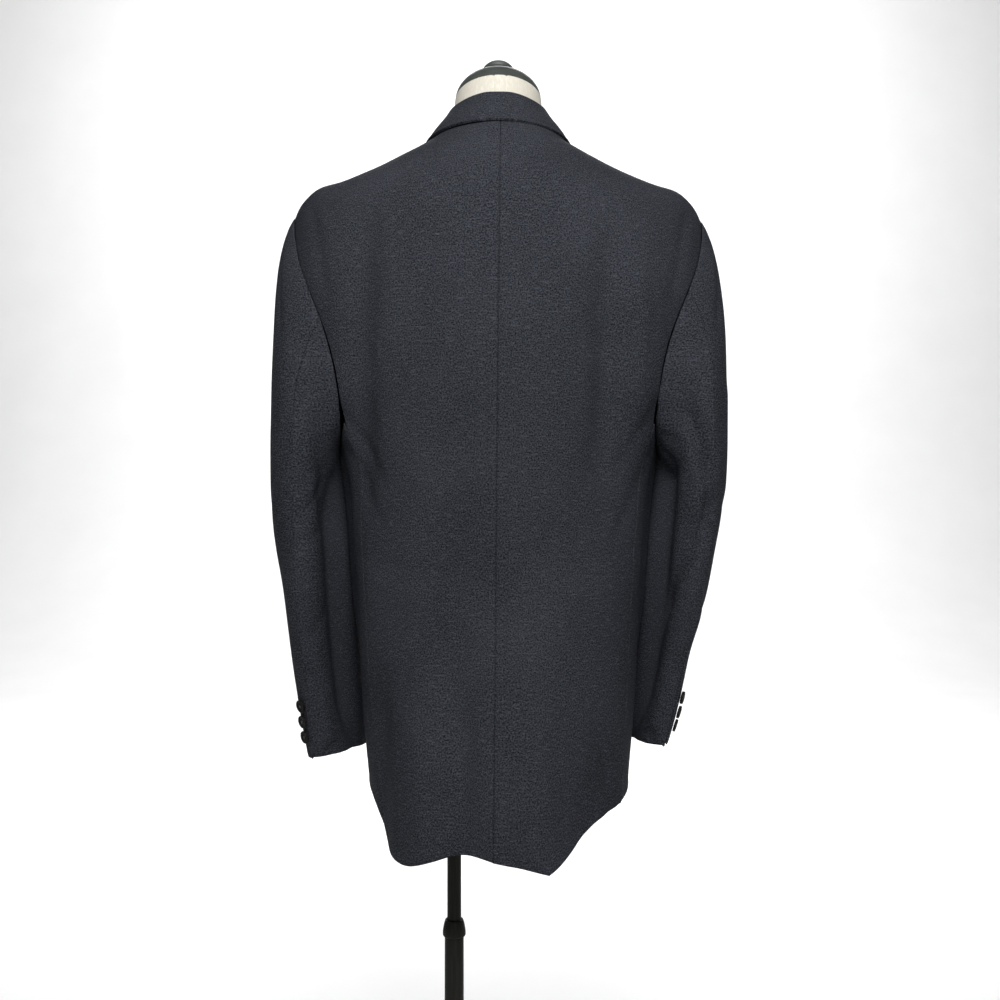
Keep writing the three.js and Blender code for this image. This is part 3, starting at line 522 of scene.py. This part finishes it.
# The creases that the cloth has beside the folds of the frame, along lines seen from behind.
# Each is its top and foot as distances from the coat's middle and heights, its width and its lift.
BACK_CREASES = (
    (-138, 1272, -148, 1030, 17, -6.0),
    (116, 1255, 110, 1062, 15, -5.5),
    (-168, 1090, -128, 1030, 7, -1.8),
    (-164, 1050, -132, 985, 7, -1.6),
    (168, 1095, 130, 1040, 8, -2.0),
    (166, 1050, 134, 975, 8, -1.8),
    (150, 1230, 152, 1100, 8, 2.0),
    (-60, 1392, -20, 1386, 6, -0.9),
    (20, 1385, 66, 1392, 6, -0.9),
    (-200, 1300, -186, 1235, 7, -1.8),
    (204, 1300, 188, 1230, 7, -1.9),
    (-140, 935, -75, 922, 10, -1.2),
    (60, 930, 138, 945, 10, -1.3),
    (-118, 905, -60, 880, 12, 1.0),
    (70, 890, 128, 912, 12, 1.1),
    (-45, 810, -28, 640, 13, -2.4),
    (-84, 770, -80, 645, 9, 1.6),
    (8, 760, 14, 640, 11, 1.4),
    (60, 745, 66, 640, 10, -2.0),
    (-120, 775, -118, 645, 8, -2.4),
    (112, 730, 119, 655, 7, -2.4),
    (90, 770, 92, 668, 8, 1.5),
    (28, 1010, 34, 870, 18, -1.2),
    (-88, 1010, -84, 860, 18, 1.2),
)

# The sleeves' own creases: round is 0 at the outside and 90 at the back, with heights.
SLEEVE_CREASES = {
    "left": (
        (64, 1262, 72, 1190, 7, -2.4),
        (112, 1120, 116, 1000, 11, -3.5),
        (92, 1150, 92, 900, 10, 1.6),
        (100, 1120, 74, 1050, 6, -1.6),
        (84, 1050, 50, 1010, 6, -1.4),
        (112, 1010, 66, 962, 6, -2.0),
        (104, 962, 56, 928, 6, -1.8),
        (30, 980, 4, 940, 8, -1.2),
        (108, 872, 70, 835, 7, -1.6),
        (-30, 1010, -70, 960, 8, -1.6),
        (-40, 950, -84, 930, 8, -1.6),
    ),
    "right": (
        (58, 1262, 72, 1195, 7, -2.4),
        (112, 1125, 82, 1040, 10, -8.0),
        (50, 1110, 46, 1010, 9, 1.8),
        (80, 1040, 72, 985, 8, -4.0),
        (74, 985, 112, 885, 12, -7.0),
        (46, 1000, 18, 950, 7, -1.6),
        (112, 870, 116, 780, 13, -3.0),
        (60, 905, 36, 860, 8, -1.4),
        (-30, 1010, -70, 960, 8, -1.6),
        (-40, 950, -84, 930, 8, -1.6),
    ),
}


def crease_lift(across, height, creases):
    """How far the cloth stands out at places, in millimetres, from a list of creases."""
    total = np.zeros_like(height)
    for top_x, top_z, foot_x, foot_z, width, lift in creases:
        span_x, span_z = foot_x - top_x, foot_z - top_z
        length = math.hypot(span_x, span_z)
        along = ((across - top_x) * span_x + (height - top_z) * span_z) / length
        away = ((across - top_x) * span_z - (height - top_z) * span_x) / length / width
        past = np.maximum(np.maximum(-along, along - length), 0) / (2.2 * width)
        total += lift * np.exp(-away * away - past * past)
    return total


def slow_waves(across, height):
    """The slight unevenness of pressed cloth, in millimetres."""
    first = np.sin(across / 23.0 + 1.7 * np.sin(height / 61.0))
    second = np.sin(height / 37.0 + 1.3 * np.sin(across / 29.0 + 0.6))
    third = np.sin(across / 9.5 + height / 17.0 + 2.0 * np.sin(height / 43.0))
    return 0.22 * first + 0.2 * second + 0.07 * third


def middle_depth(part):
    """How far back the coat's middle line lies at each height, for the backs or for the fronts."""
    points = np.concatenate([points_of(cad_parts[f"{part}_{side}"].data) for side in SIDES])
    away = np.abs(points[:, 0] - COAT_MIDDLE_X * MM)
    heights = np.linspace(points[:, 2].min(), points[:, 2].max(), 24)
    depths = []
    for height in heights:
        reach = away + np.abs(points[:, 2] - height)
        depths.append(points[np.argsort(reach)[:12], 1].mean())
    return heights, np.array(depths)


MIDDLE_DEPTH = {part: middle_depth(part) for part in ("back", "front")}


def body_grain(points, faces_front):
    """The cloth's own coordinates on the body: across and along the grain, in metres."""
    x = points[:, 0] - COAT_MIDDLE_X * MM
    middle = np.interp(points[:, 2], *MIDDLE_DEPTH["front" if faces_front else "back"])
    turned = (middle - points[:, 1]) if faces_front else (points[:, 1] - middle)
    across = x + np.sign(x) * 0.75 * turned * ease(np.abs(x), 0.0, 0.03)
    shoulder = ease(points[:, 2], 1.29, 1.36) * np.maximum(0.105 - np.abs(points[:, 1]), 0)
    return np.stack([across, points[:, 2] + 0.8 * shoulder], axis=1)


class SleeveAxis:
    """The middle line of a sleeve, found from its two pieces."""

    def __init__(self, side):
        nodes = [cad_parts[f"sleeve_{part}_{side}"] for part in ("top", "under")]
        points = np.concatenate([points_of(node.data) for node in nodes])
        heights = np.linspace(points[:, 2].min() + 0.02, points[:, 2].max() - 0.03, 14)
        middles = []
        for height in heights:
            near = points[np.abs(points[:, 2] - height) < 0.035]
            middles.append((near[:, :2].min(axis=0) + near[:, :2].max(axis=0)) / 2)
        middles = np.array(middles)
        self.sign = SIDE_SIGN[side]
        self.x = np.polyfit(heights, middles[:, 0], 3)
        self.y = np.polyfit(heights, middles[:, 1], 3)

    def round_of(self, points, under):
        """The way round the sleeve in degrees: 0 outside, 90 at the back, 180 inside."""
        x = self.sign * (points[:, 0] - np.polyval(self.x, points[:, 2]))
        y = points[:, 1] - np.polyval(self.y, points[:, 2])
        degrees = np.degrees(np.arctan2(-y, x))
        return np.where(degrees < 0, degrees + 360, degrees) if under else degrees


SLEEVE_RADIUS = 62.0


def give_grain(thing, grain_of):
    """Writes the cloth's own coordinates as the UV map named grain."""
    mesh = thing.data
    grain = grain_of(points_of(mesh))
    layer = mesh.uv_layers.new(name="grain")
    loops = np.empty(len(mesh.loops), dtype=np.int32)
    mesh.loops.foreach_get("vertex_index", loops)
    layer.data.foreach_set("uv", grain[loops].ravel())


ARMHOLE_EASE = 1.4
ARMHOLE_FOOT = 1062
VENT_LAP = 3.0
VENT_DROP = 2.0
VENT_LENGTH = 95.0
CUFF_LEVEL = {"left": 708.0, "right": 724.0}
SLEEVE_HEAD_RISE = 1.5


def armhole_distance(points, side):
    """How far each point of a sleeve is from the armhole's edge, in millimetres."""
    body = [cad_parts[f"{part}_{side}"] for part in ("back", "side", "front")]
    places = np.concatenate([points_of(node.data) for node in body])
    sideways = SIDE_SIGN[side] * (places[:, 0] / MM - COAT_MIDDLE_X)
    places = places[(places[:, 2] > ARMHOLE_FOOT * MM) & (sideways > 120)]
    tree = KDTree(len(places))
    for index, place in enumerate(places):
        tree.insert(place, index)
    tree.balance()
    return np.array([tree.find(point)[2] for point in points]) / MM


def close_armhole(points, edge, side, part):
    """Draws a sleeve's head towards its armhole, and laps its vent."""
    away = armhole_distance(points, side)
    shift = ARMHOLE_EASE * (1 - ease(away, 2, 50)) * ease(points[:, 2] / MM, 1040, 1075)
    points[:, 0] -= SIDE_SIGN[side] * shift * MM
    if part == "under":
        vent_top = CUFF_LEVEL[side] + VENT_LENGTH
        lap = ease(points[:, 2] / MM, vent_top + 20, vent_top - 10)
        lap *= ease(edge, 22, 8) * ease(-points[:, 1] / MM, -10, 5)
        points[:, :2] += np.outer(lap * VENT_LAP, (0.79 * SIDE_SIGN[side], 0.62)) * MM
    head = ease(points[:, 2] / MM, 1262, 1312) * ease(away, 45, 6)
    points[:, 2] += SLEEVE_HEAD_RISE * head * MM
    return points


SHOULDER_TIP = 200.0
TIP_RISE = 5.0


def square_shoulders(points):
    """The padded shoulder stands up at its tip before the sleeve falls."""
    away = np.abs(points[:, 0] / MM - COAT_MIDDLE_X) - SHOULDER_TIP
    rise = TIP_RISE * np.exp(-(away / 20) ** 2) * ease(points[:, 2] / MM, 1255, 1300)
    points[:, 2] += rise * MM
    return points


def sew(node, lift_of, grain_of, levels=None, dip=True,
        reshape=None):
    """One cut piece of cloth: a fine sheet on its node's form, creased, thickened and set in its node's
    place.
    """
    settings = coat_settings()
    thing = outer_sheet(node, f"cloth_{node}")
    levels = settings.fineness if levels is None else levels
    apply_modifier(thing, "SUBSURF", levels=levels, render_levels=levels, boundary_smooth="PRESERVE_CORNERS")
    rolled = add_edge_roll(thing)
    mesh = thing.data
    points, normals = points_of(mesh), normals_of(mesh)
    away = edge_distance(mesh, points)
    if node.startswith("sleeve"):
        rolled *= 0.4 + 0.6 * ease(armhole_distance(points, node.split("_")[-1]), 6, 16)
    lift = lift_of(points, away) * MM - settings.edge_roll * rolled
    if reshape:
        points = reshape(points, away)
    if dip:
        lift -= settings.seam_dip * np.exp(-(away * MM / settings.seam_reach) ** 2)
    set_points(mesh, square_shoulders(points + normals * lift[:, None]))
    wear_finish(thing, wool_linen, viscose_lining)
    apply_modifier(thing, "SOLIDIFY", thickness=settings.cloth_thickness, offset=-1.0, use_even_offset=False,
                   material_offset=1, material_offset_rim=0)
    take_up(thing)
    bpy.ops.object.shade_smooth_by_angle(angle=math.radians(50))
    give_grain(thing, grain_of)
    seat(thing, f"cloth_{node}", FORM_BODY, [node])
    return thing


# Each cut's width and length in metres, estimated for a coat of this size, and its area in
# square metres, which was measured on the finished walls and given about 2% more
TOP_SLEEVE_CUT = (0.23, 0.66, 0.103)
UNDER_SLEEVE_CUT = (0.15, 0.52, 0.067)


UNDER_ARM_FULLNESS = 8.0


def under_arm(points):
    """The fullness under the arm, in front, where the sleeve lies near the body."""
    x = points[:, 0] / MM - COAT_MIDDLE_X
    z = points[:, 2] / MM
    front_half = ease(points[:, 1] / MM, -20, 15)
    levels = ease(z, 800, 900) * ease(z, 1072, 1045)
    return UNDER_ARM_FULLNESS * front_half * ease(np.abs(x), 115, 148) * levels


def body_lift(points, away):
    """Creases of the back and sides, fading where the cloth turns to the front."""
    x = points[:, 0] / MM - COAT_MIDDLE_X
    z = points[:, 2] / MM
    behind = ease(-points[:, 1] / MM, -10, 25)
    hem_roll = 0.5 * ease(away, 12, 2) * ease(z, 700, 680)
    waves = slow_waves(x, z) * ease(away, 0, 12)
    return behind * crease_lift(x, z, BACK_CREASES) + waves + hem_roll + under_arm(points)


def front_lift(points, away):
    """The fronts are canvassed and lie smooth."""
    x = points[:, 0] / MM - COAT_MIDDLE_X
    z = points[:, 2] / MM
    return 0.35 * slow_waves(x, z) * ease(away, 0, 14) + under_arm(points)


SEAM_LEAN = ((640, -4.5), (1130, -0.5), (1430, 3.0))


def lean_middle_seam(points, away):
    """The centre back seam leans a little to one side, as the coat hangs."""
    heights, shifts = zip(*SEAM_LEAN)
    near = 1 - ease(np.abs(points[:, 0] / MM - COAT_MIDDLE_X), 0, 90)
    points[:, 0] += near * np.interp(points[:, 2] / MM, heights, shifts) * MM
    return points


def sew_body():
    for side in SIDES:
        sew(f"back_{side}", body_lift, lambda points: body_grain(points, False),
            reshape=lean_middle_seam)
        sew(f"side_{side}", body_lift, lambda points: body_grain(points, False))
        sew(f"front_{side}", front_lift, lambda points: body_grain(points, True))


def edge_swell(points, away):
    """A pressed and stitched edge: a low swell outside a line of stitches 6 mm in."""
    return 1.3 * np.exp(-((away - 2.4) / 2.0) ** 2) - 0.5 * np.exp(-((away - 6.5) / 1.4) ** 2)


COLLAR_DROP = 7.5


def lower_collar_sides(points, away):
    """The fold of the collar is highest behind the neck and falls to the sides."""
    aside = np.abs(points[:, 0] / MM - COAT_MIDDLE_X)
    raised = ease(points[:, 2] / MM, 1402, 1438)
    points[:, 2] -= COLLAR_DROP * ease(aside, 8, 50) * raised * ease(points[:, 1] / MM, 40, -5) * MM
    return points


def sew_collar_and_lapels():
    for side in SIDES:
        sew(f"lapel_{side}", edge_swell, lambda points: body_grain(points, True),
            dip=False)
    sew("collar", edge_swell, lambda points: body_grain(points, False),
        dip=False, reshape=lower_collar_sides)


SLEEVE_FULLNESS = 5.0

# Where the sleeve falls in towards the body, behind: its top, its foot and its depth
INNER_HOLLOW = {"left": (1030, 735, 19.0), "right": (1105, 750, 19.0)}


def sew_sleeves():
    for side in SIDES:
        axis = SleeveAxis(side)
        for part, flat in (("top", TOP_SLEEVE_CUT), ("under", UNDER_SLEEVE_CUT)):
            under = part == "under"

            def lift(points, away, axis=axis, under=under, side=side):
                rounds = axis.round_of(points, under)
                z = points[:, 2] / MM
                around = np.radians(rounds) * SLEEVE_RADIUS
                creases = [(math.radians(a) * SLEEVE_RADIUS, b, math.radians(c) * SLEEVE_RADIUS, d, w, h)
                           for a, b, c, d, w, h in SLEEVE_CREASES[side]]
                total = crease_lift(around, z, creases)
                if under:
                    top, foot, depth = INNER_HOLLOW[side]
                    reach = ease(z, foot - 60, foot + 40) * ease(z, top + 40, top - 60)
                    total -= depth * reach * np.exp(-((rounds - 136) / 29) ** 2)
                    total += SLEEVE_FULLNESS * np.exp(-((rounds - 218) / 26) ** 2) * ease(z, 820, 900)
                total = total * ease(armhole_distance(points, side), 8, 42)
                total += slow_waves(around + 40, z) * ease(away, 0, 10)
                if under:
                    vent_top = CUFF_LEVEL[side] + VENT_LENGTH
                    vent = ease(z, vent_top + 25, vent_top - 5)
                    total -= VENT_DROP * vent * ease(rounds, 120, 95) * ease(away, 26, 12)
                return total

            def grain(points, axis=axis, under=under):
                rounds = axis.round_of(points, under)
                return np.stack([np.radians(rounds) * SLEEVE_RADIUS * MM, points[:, 2]], axis=1)

            sew(f"sleeve_{part}_{side}", lift, grain,
                reshape=lambda points, away, side=side, part=part: close_armhole(points, away, side, part))


def sew_pockets():
    for side in SIDES:
        sew(f"flap_{side}", edge_swell, lambda points: body_grain(points, True), levels=3,
            dip=False)
    sew("breast_welt", edge_swell, lambda points: body_grain(points, True), levels=3,
        dip=False)


# Buttons and buttonholes

def place_of_disc(node):
    """The foot, the way out and the size of a turned disc in the frame."""
    points = points_of(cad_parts[node].data)
    middle = (points.min(axis=0) + points.max(axis=0)) / 2
    spread = np.linalg.svd(points - points.mean(axis=0), full_matrices=False)[2]
    out = spread[2]
    heights = (points - middle) @ out
    radii = np.linalg.norm((points - middle) - np.outer(heights, out), axis=1)
    face_radius = radii[np.abs(heights - heights.max()) < 0.4 * MM].max()
    foot_radius = radii[np.abs(heights - heights.min()) < 0.4 * MM].max()
    if foot_radius > face_radius:
        out = -out
        heights = -heights
    foot = middle + out * heights.min()
    return Vector(foot), Vector(out), radii.max(), heights.max() - heights.min()


def model_button(radius, height):
    """A turned button: a raised rim, a dish with four holes and crossed thread."""
    clear_selection()
    bpy.ops.mesh.primitive_cylinder_add(vertices=40, radius=radius, depth=height, location=(0, 0, height / 2))
    button = bpy.context.active_object
    bpy.ops.object.transform_apply(location=True)
    bpy.ops.object.mode_set(mode="EDIT")
    bpy.ops.mesh.select_mode(type="FACE")
    bpy.ops.mesh.select_all(action="DESELECT")
    mesh = bmesh.from_edit_mesh(button.data)
    for face in mesh.faces:
        face.select_set(face.normal.z > 0.9)
    bmesh.update_edit_mesh(button.data)
    bpy.ops.mesh.inset(thickness=radius * 0.2)
    bpy.ops.mesh.inset(thickness=radius * 0.08)
    bpy.ops.transform.translate(value=(0, 0, -height * 0.24))
    bpy.ops.mesh.inset(thickness=radius * 0.3)
    bpy.ops.transform.translate(value=(0, 0, -height * 0.04))
    bpy.ops.mesh.select_all(action="DESELECT")
    mesh = bmesh.from_edit_mesh(button.data)
    for face in mesh.faces:
        face.select_set(face.normal.z < -0.9)
    bmesh.update_edit_mesh(button.data)
    bpy.ops.mesh.inset(thickness=radius * 0.12)
    bpy.ops.object.mode_set(mode="OBJECT")
    apply_modifier(button, "BEVEL", width=height * 0.14, segments=3, limit_method="ANGLE",
                   angle_limit=math.radians(35))
    spread = radius * 0.19
    drills = []
    for turn in (45, 135, 225, 315):
        clear_selection()
        along = math.radians(turn)
        spot = (spread * 1.3 * math.cos(along), spread * 1.3 * math.sin(along), height / 2)
        bpy.ops.mesh.primitive_cylinder_add(vertices=12, radius=radius * 0.085, depth=height * 3,
                                            location=spot)
        drills.append(bpy.context.active_object)
    for drill in drills:
        apply_modifier(button, "BOOLEAN", operation="DIFFERENCE", object=drill, solver="EXACT")
    for drill in drills:
        spare = drill.data
        bpy.data.objects.remove(drill)
        bpy.data.meshes.remove(spare)
    take_up(button)
    bpy.ops.object.shade_smooth_by_angle(angle=math.radians(35))
    wear_finish(button, polished_horn, silk_thread)
    stitches = []
    for turn in (45, 135):
        clear_selection()
        bpy.ops.mesh.primitive_cylinder_add(
            vertices=10, radius=radius * 0.06, depth=spread * 2.6, location=(0, 0, height * 0.76),
            rotation=(math.pi / 2, 0, math.radians(turn)))
        bpy.ops.object.transform_apply(location=True, rotation=True)
        stitch = bpy.context.active_object
        apply_modifier(stitch, "BEVEL", width=radius * 0.03, segments=2)
        wear_finish(stitch, polished_horn, silk_thread)
        for polygon in stitch.data.polygons:
            polygon.material_index = 1
            polygon.use_smooth = True
        stitches.append(stitch)
    take_up(button)
    for stitch in stitches:
        stitch.select_set(True)
    bpy.ops.object.join()
    return bpy.context.active_object


def stand_on(thing, foot, out, up=Vector((0, 0, 1))):
    """Moves a mesh modelled at the origin so that it stands on a place and faces out."""
    across = up.cross(out).normalized()
    turn = Matrix((across, out.cross(across), out)).transposed().to_4x4()
    thing.data.transform(Matrix.Translation(foot) @ turn)
    thing.data.update()


def make_buttons():
    nodes = ["front_button_1", "front_button_2"]
    nodes += [f"cuff_button_{side}_{number}" for side in SIDES for number in (1, 2, 3)]
    models = {}
    for node in nodes:
        foot, out, radius, height = place_of_disc(node)
        kind = node.split("_button")[0]
        if kind not in models:
            models[kind] = model_button(radius * 0.99, height * 0.98)
        pattern = models[kind]
        button = bpy.data.objects.new(f"horn_{node}", pattern.data.copy())
        bpy.context.scene.collection.objects.link(button)
        stand_on(button, foot, out)
        seat(button, f"horn_{node}", FORM_BODY, [node])
    for pattern in models.values():
        spare = pattern.data
        bpy.data.objects.remove(pattern)
        bpy.data.meshes.remove(spare)


# The form and its stand

def finer_copy(node, name, body, make, bevel=0.5, levels=2, change=None):
    """A smooth copy of a hard piece, with its edges rounded and its facets gone."""
    thing = bpy.data.objects.new(name, bpy.data.meshes.new(name))
    bpy.context.scene.collection.objects.link(thing)
    mesh = bmesh.new()
    mesh.from_mesh(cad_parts[node].data)
    bmesh.ops.remove_doubles(mesh, verts=mesh.verts, dist=0.01 * MM)
    bmesh.ops.join_triangles(mesh, faces=mesh.faces, angle_face_threshold=math.radians(12),
                             angle_shape_threshold=math.pi)
    mesh.to_mesh(thing.data)
    mesh.free()
    if bevel:
        apply_modifier(thing, "BEVEL", width=bevel * MM, segments=2, limit_method="ANGLE",
                       angle_limit=math.radians(28))
    apply_modifier(thing, "SUBSURF", levels=levels, render_levels=levels)
    if change:
        points = points_of(thing.data)
        set_points(thing.data, change(points, normals_of(thing.data)))
    take_up(thing)
    bpy.ops.object.shade_smooth_by_angle(angle=math.radians(40))
    wear_finish(thing, make)
    return seat(thing, name, body, [node])


NECK_SEAMS = (-5.0, 9.0)
UNDER_COAT_CLEARANCE = 3.0


def sew_neck_seams(points, normals):
    """Two upright seams sink into the neck's jersey, and the form keeps clear of the coat."""
    x = points[:, 0] / MM - COAT_MIDDLE_X
    behind = ease(-points[:, 1] / MM, 10, 30) * ease(points[:, 2] / MM, 1400, 1425)
    sink = sum(np.exp(-((x - seam) / 1.1) ** 2) for seam in NECK_SEAMS)
    clear = UNDER_COAT_CLEARANCE * ease(points[:, 2] / MM, 1392, 1360)
    return points - normals * ((behind * sink * 0.9 + clear) * MM)[:, None]


CAP_TILT = math.radians(14.7)
CAP_UP = np.array([0.0, -math.sin(CAP_TILT), math.cos(CAP_TILT)])
CAP_SEAT = np.array([COAT_MIDDLE_X, 0.0, 1452.0]) * MM
CAP_FLATTER = 0.9
CAP_TOP = 37.4 * MM


def flatten_cap(points, normals):
    """The cap is a little flatter than a ball."""
    height = (points - CAP_SEAT) @ CAP_UP
    return points - np.outer(np.maximum(height, 0) * (1 - CAP_FLATTER), CAP_UP)


def seat_knob(points, normals):
    """The knob sinks with the cap's top and is drawn taller to the same peak."""
    height = (points - CAP_SEAT) @ CAP_UP - CAP_TOP
    drop = CAP_TOP * (1 - CAP_FLATTER)
    return points - np.outer(drop * (1 - 0.35 * np.clip(height / (10.5 * MM), 0, 1)), CAP_UP)


def dress_form():
    finer_copy("form_body", "jersey_form", FORM_BODY, cotton_jersey, bevel=1.0, levels=3,
               change=sew_neck_seams)
    finer_copy("form_cap", "painted_cap", FORM_BODY, painted_wood, bevel=0.8, change=flatten_cap)
    finer_copy("form_knob", "painted_knob", FORM_BODY, painted_wood, bevel=0.8, change=seat_knob)


def raise_stand():
    finer_copy("stand_base", "enamel_base", "stand", stove_enamel, bevel=0.8)
    finer_copy("stand_tube", "enamel_tube", "stand", stove_enamel, bevel=0.4)
    finer_copy("stand_collar", "enamel_collar", "stand", stove_enamel, bevel=0.4)
    finer_copy("stand_mast", "enamel_mast", "mast", stove_enamel, bevel=0.4)


# The stage

# Each lamp's name, place, aim, size and power
LAMPS = (
    ("camera_softbox", (0.1, -1.3, 2.05), (0.05, 0.0, 1.22), 0.7, 29.0),
    ("front_softbox", (0.1, 2.4, 2.7), (0.05, 0.0, 1.1), 1.2, 60.0),
    ("back_wall_wash", (0.0, 2.8, 4.6), (0.0, 7.0, 1.8), 4.0, 360.0),
    ("near_wall_wash", (0.0, -3.6, 4.4), (0.0, -7.0, 1.4), 3.0, 30.0),
)


def set_stage():
    settings = stage_settings()
    clear_selection()
    bpy.ops.mesh.primitive_plane_add(size=14, location=(0, 0, 0))
    floor = bpy.context.active_object
    bpy.ops.object.mode_set(mode="EDIT")
    bpy.ops.mesh.select_mode(type="EDGE")
    bpy.ops.mesh.select_all(action="DESELECT")
    mesh = bmesh.from_edit_mesh(floor.data)
    for edge in mesh.edges:
        edge.select_set(abs(sum(vertex.co.y for vertex in edge.verts)) > 13)
    bmesh.update_edit_mesh(floor.data)
    bpy.ops.mesh.extrude_region_move(TRANSFORM_OT_translate={"value": (0, 0, 7)})
    bpy.ops.object.mode_set(mode="OBJECT")
    apply_modifier(floor, "BEVEL", width=2.5, segments=16, limit_method="ANGLE", angle_limit=math.radians(40))
    take_up(floor)
    bpy.ops.object.shade_smooth()
    floor.name = "paper_floor"
    wear_finish(floor, studio_paper)

    world = bpy.data.worlds.new("soft_room")
    world.use_nodes = True
    world.node_tree.nodes.clear()
    room = add_node(world.node_tree, "ShaderNodeBackground",
                    {"Color": (1.0, 1.0, 1.0, 1.0), "Strength": 0.05})
    add_node(world.node_tree, "ShaderNodeOutputWorld", {"Surface": room.outputs[0]})
    bpy.context.scene.world = world

    for name, place, aim, size, power in LAMPS:
        lamp = bpy.data.lights.new(name, "AREA")
        lamp.energy = power
        lamp.size = size
        thing = bpy.data.objects.new(name, lamp)
        thing.location = place
        thing.visible_camera = False
        thing.rotation_euler = (Vector(aim) - Vector(place)).to_track_quat("-Z", "Y").to_euler()
        bpy.context.scene.collection.objects.link(thing)

    camera = bpy.data.cameras.new("view_from_behind")
    camera.sensor_width = 36.0
    camera.lens = settings.lens
    thing = bpy.data.objects.new("view_from_behind", camera)
    thing.location = (0.052, -settings.camera_distance, settings.camera_height)
    thing.rotation_euler = (math.pi / 2, 0, 0)
    bpy.context.scene.collection.objects.link(thing)
    bpy.context.scene.camera = thing
    bpy.context.scene.view_settings.view_transform = "Standard"


# Operators, one for each group of like pieces

class OBJECT_OT_coat_stage(bpy.types.Operator):
    """Lays the paper floor and sets the lights and the camera"""
    bl_idname = "object.coat_stage"
    bl_label = "Set the stage"

    def execute(self, context):
        set_stage()
        return {"FINISHED"}


class OBJECT_OT_coat_body(bpy.types.Operator):
    """Sews the backs, the side panels and the fronts"""
    bl_idname = "object.coat_body"
    bl_label = "Sew the body"

    def execute(self, context):
        sew_body()
        return {"FINISHED"}


class OBJECT_OT_coat_collar(bpy.types.Operator):
    """Sews the collar and the lapels"""
    bl_idname = "object.coat_collar"
    bl_label = "Sew the collar and lapels"

    def execute(self, context):
        sew_collar_and_lapels()
        return {"FINISHED"}


class OBJECT_OT_coat_sleeves(bpy.types.Operator):
    """Sews the top and under sleeves with their cuff vents"""
    bl_idname = "object.coat_sleeves"
    bl_label = "Sew the sleeves"

    def execute(self, context):
        sew_sleeves()
        return {"FINISHED"}


class OBJECT_OT_coat_pockets(bpy.types.Operator):
    """Sews the pocket flaps and the breast welt"""
    bl_idname = "object.coat_pockets"
    bl_label = "Sew the pockets"

    def execute(self, context):
        sew_pockets()
        return {"FINISHED"}


class OBJECT_OT_coat_buttons(bpy.types.Operator):
    """Turns, drills and sews on the buttons"""
    bl_idname = "object.coat_buttons"
    bl_label = "Sew on the buttons"

    def execute(self, context):
        make_buttons()
        return {"FINISHED"}


class OBJECT_OT_coat_form(bpy.types.Operator):
    """Covers the form and paints its cap and knob"""
    bl_idname = "object.coat_form"
    bl_label = "Dress the form"

    def execute(self, context):
        dress_form()
        return {"FINISHED"}


class OBJECT_OT_coat_stand(bpy.types.Operator):
    """Makes the base, the tube, the clamp collar and the mast"""
    bl_idname = "object.coat_stand"
    bl_label = "Raise the stand"

    def execute(self, context):
        raise_stand()
        return {"FINISHED"}


OPERATORS = (
    OBJECT_OT_coat_stage,
    OBJECT_OT_coat_body,
    OBJECT_OT_coat_collar,
    OBJECT_OT_coat_sleeves,
    OBJECT_OT_coat_pockets,
    OBJECT_OT_coat_buttons,
    OBJECT_OT_coat_form,
    OBJECT_OT_coat_stand,
)


class VIEW3D_PT_sport_coat(bpy.types.Panel):
    """The coat's settings and its steps in order"""
    bl_label = "Sport coat"
    bl_idname = "VIEW3D_PT_sport_coat"
    bl_space_type = "VIEW_3D"
    bl_region_type = "UI"
    bl_category = "Sport coat"

    def draw(self, context):
        layout = self.layout
        for group in (context.scene.sport_coat, context.scene.dress_form, context.scene.coat_stage):
            for name in group.__annotations__:
                layout.prop(group, name)
        for operator in OPERATORS:
            layout.operator(operator.bl_idname)


CLASSES = (CoatSettings, FormSettings, StageSettings, *OPERATORS, VIEW3D_PT_sport_coat)


def register():
    for each in CLASSES:
        bpy.utils.register_class(each)
    bpy.types.Scene.sport_coat = bpy.props.PointerProperty(type=CoatSettings)
    bpy.types.Scene.dress_form = bpy.props.PointerProperty(type=FormSettings)
    bpy.types.Scene.coat_stage = bpy.props.PointerProperty(type=StageSettings)


def unregister():
    del bpy.types.Scene.sport_coat
    del bpy.types.Scene.dress_form
    del bpy.types.Scene.coat_stage
    for each in reversed(CLASSES):
        bpy.utils.unregister_class(each)


def main():
    clear_selection()
    register()
    bpy.ops.object.coat_stage()
    bpy.ops.object.coat_body()
    bpy.ops.object.coat_collar()
    bpy.ops.object.coat_sleeves()
    bpy.ops.object.coat_pockets()
    bpy.ops.object.coat_buttons()
    bpy.ops.object.coat_form()
    bpy.ops.object.coat_stand()


if __name__ == "__main__":
    main()
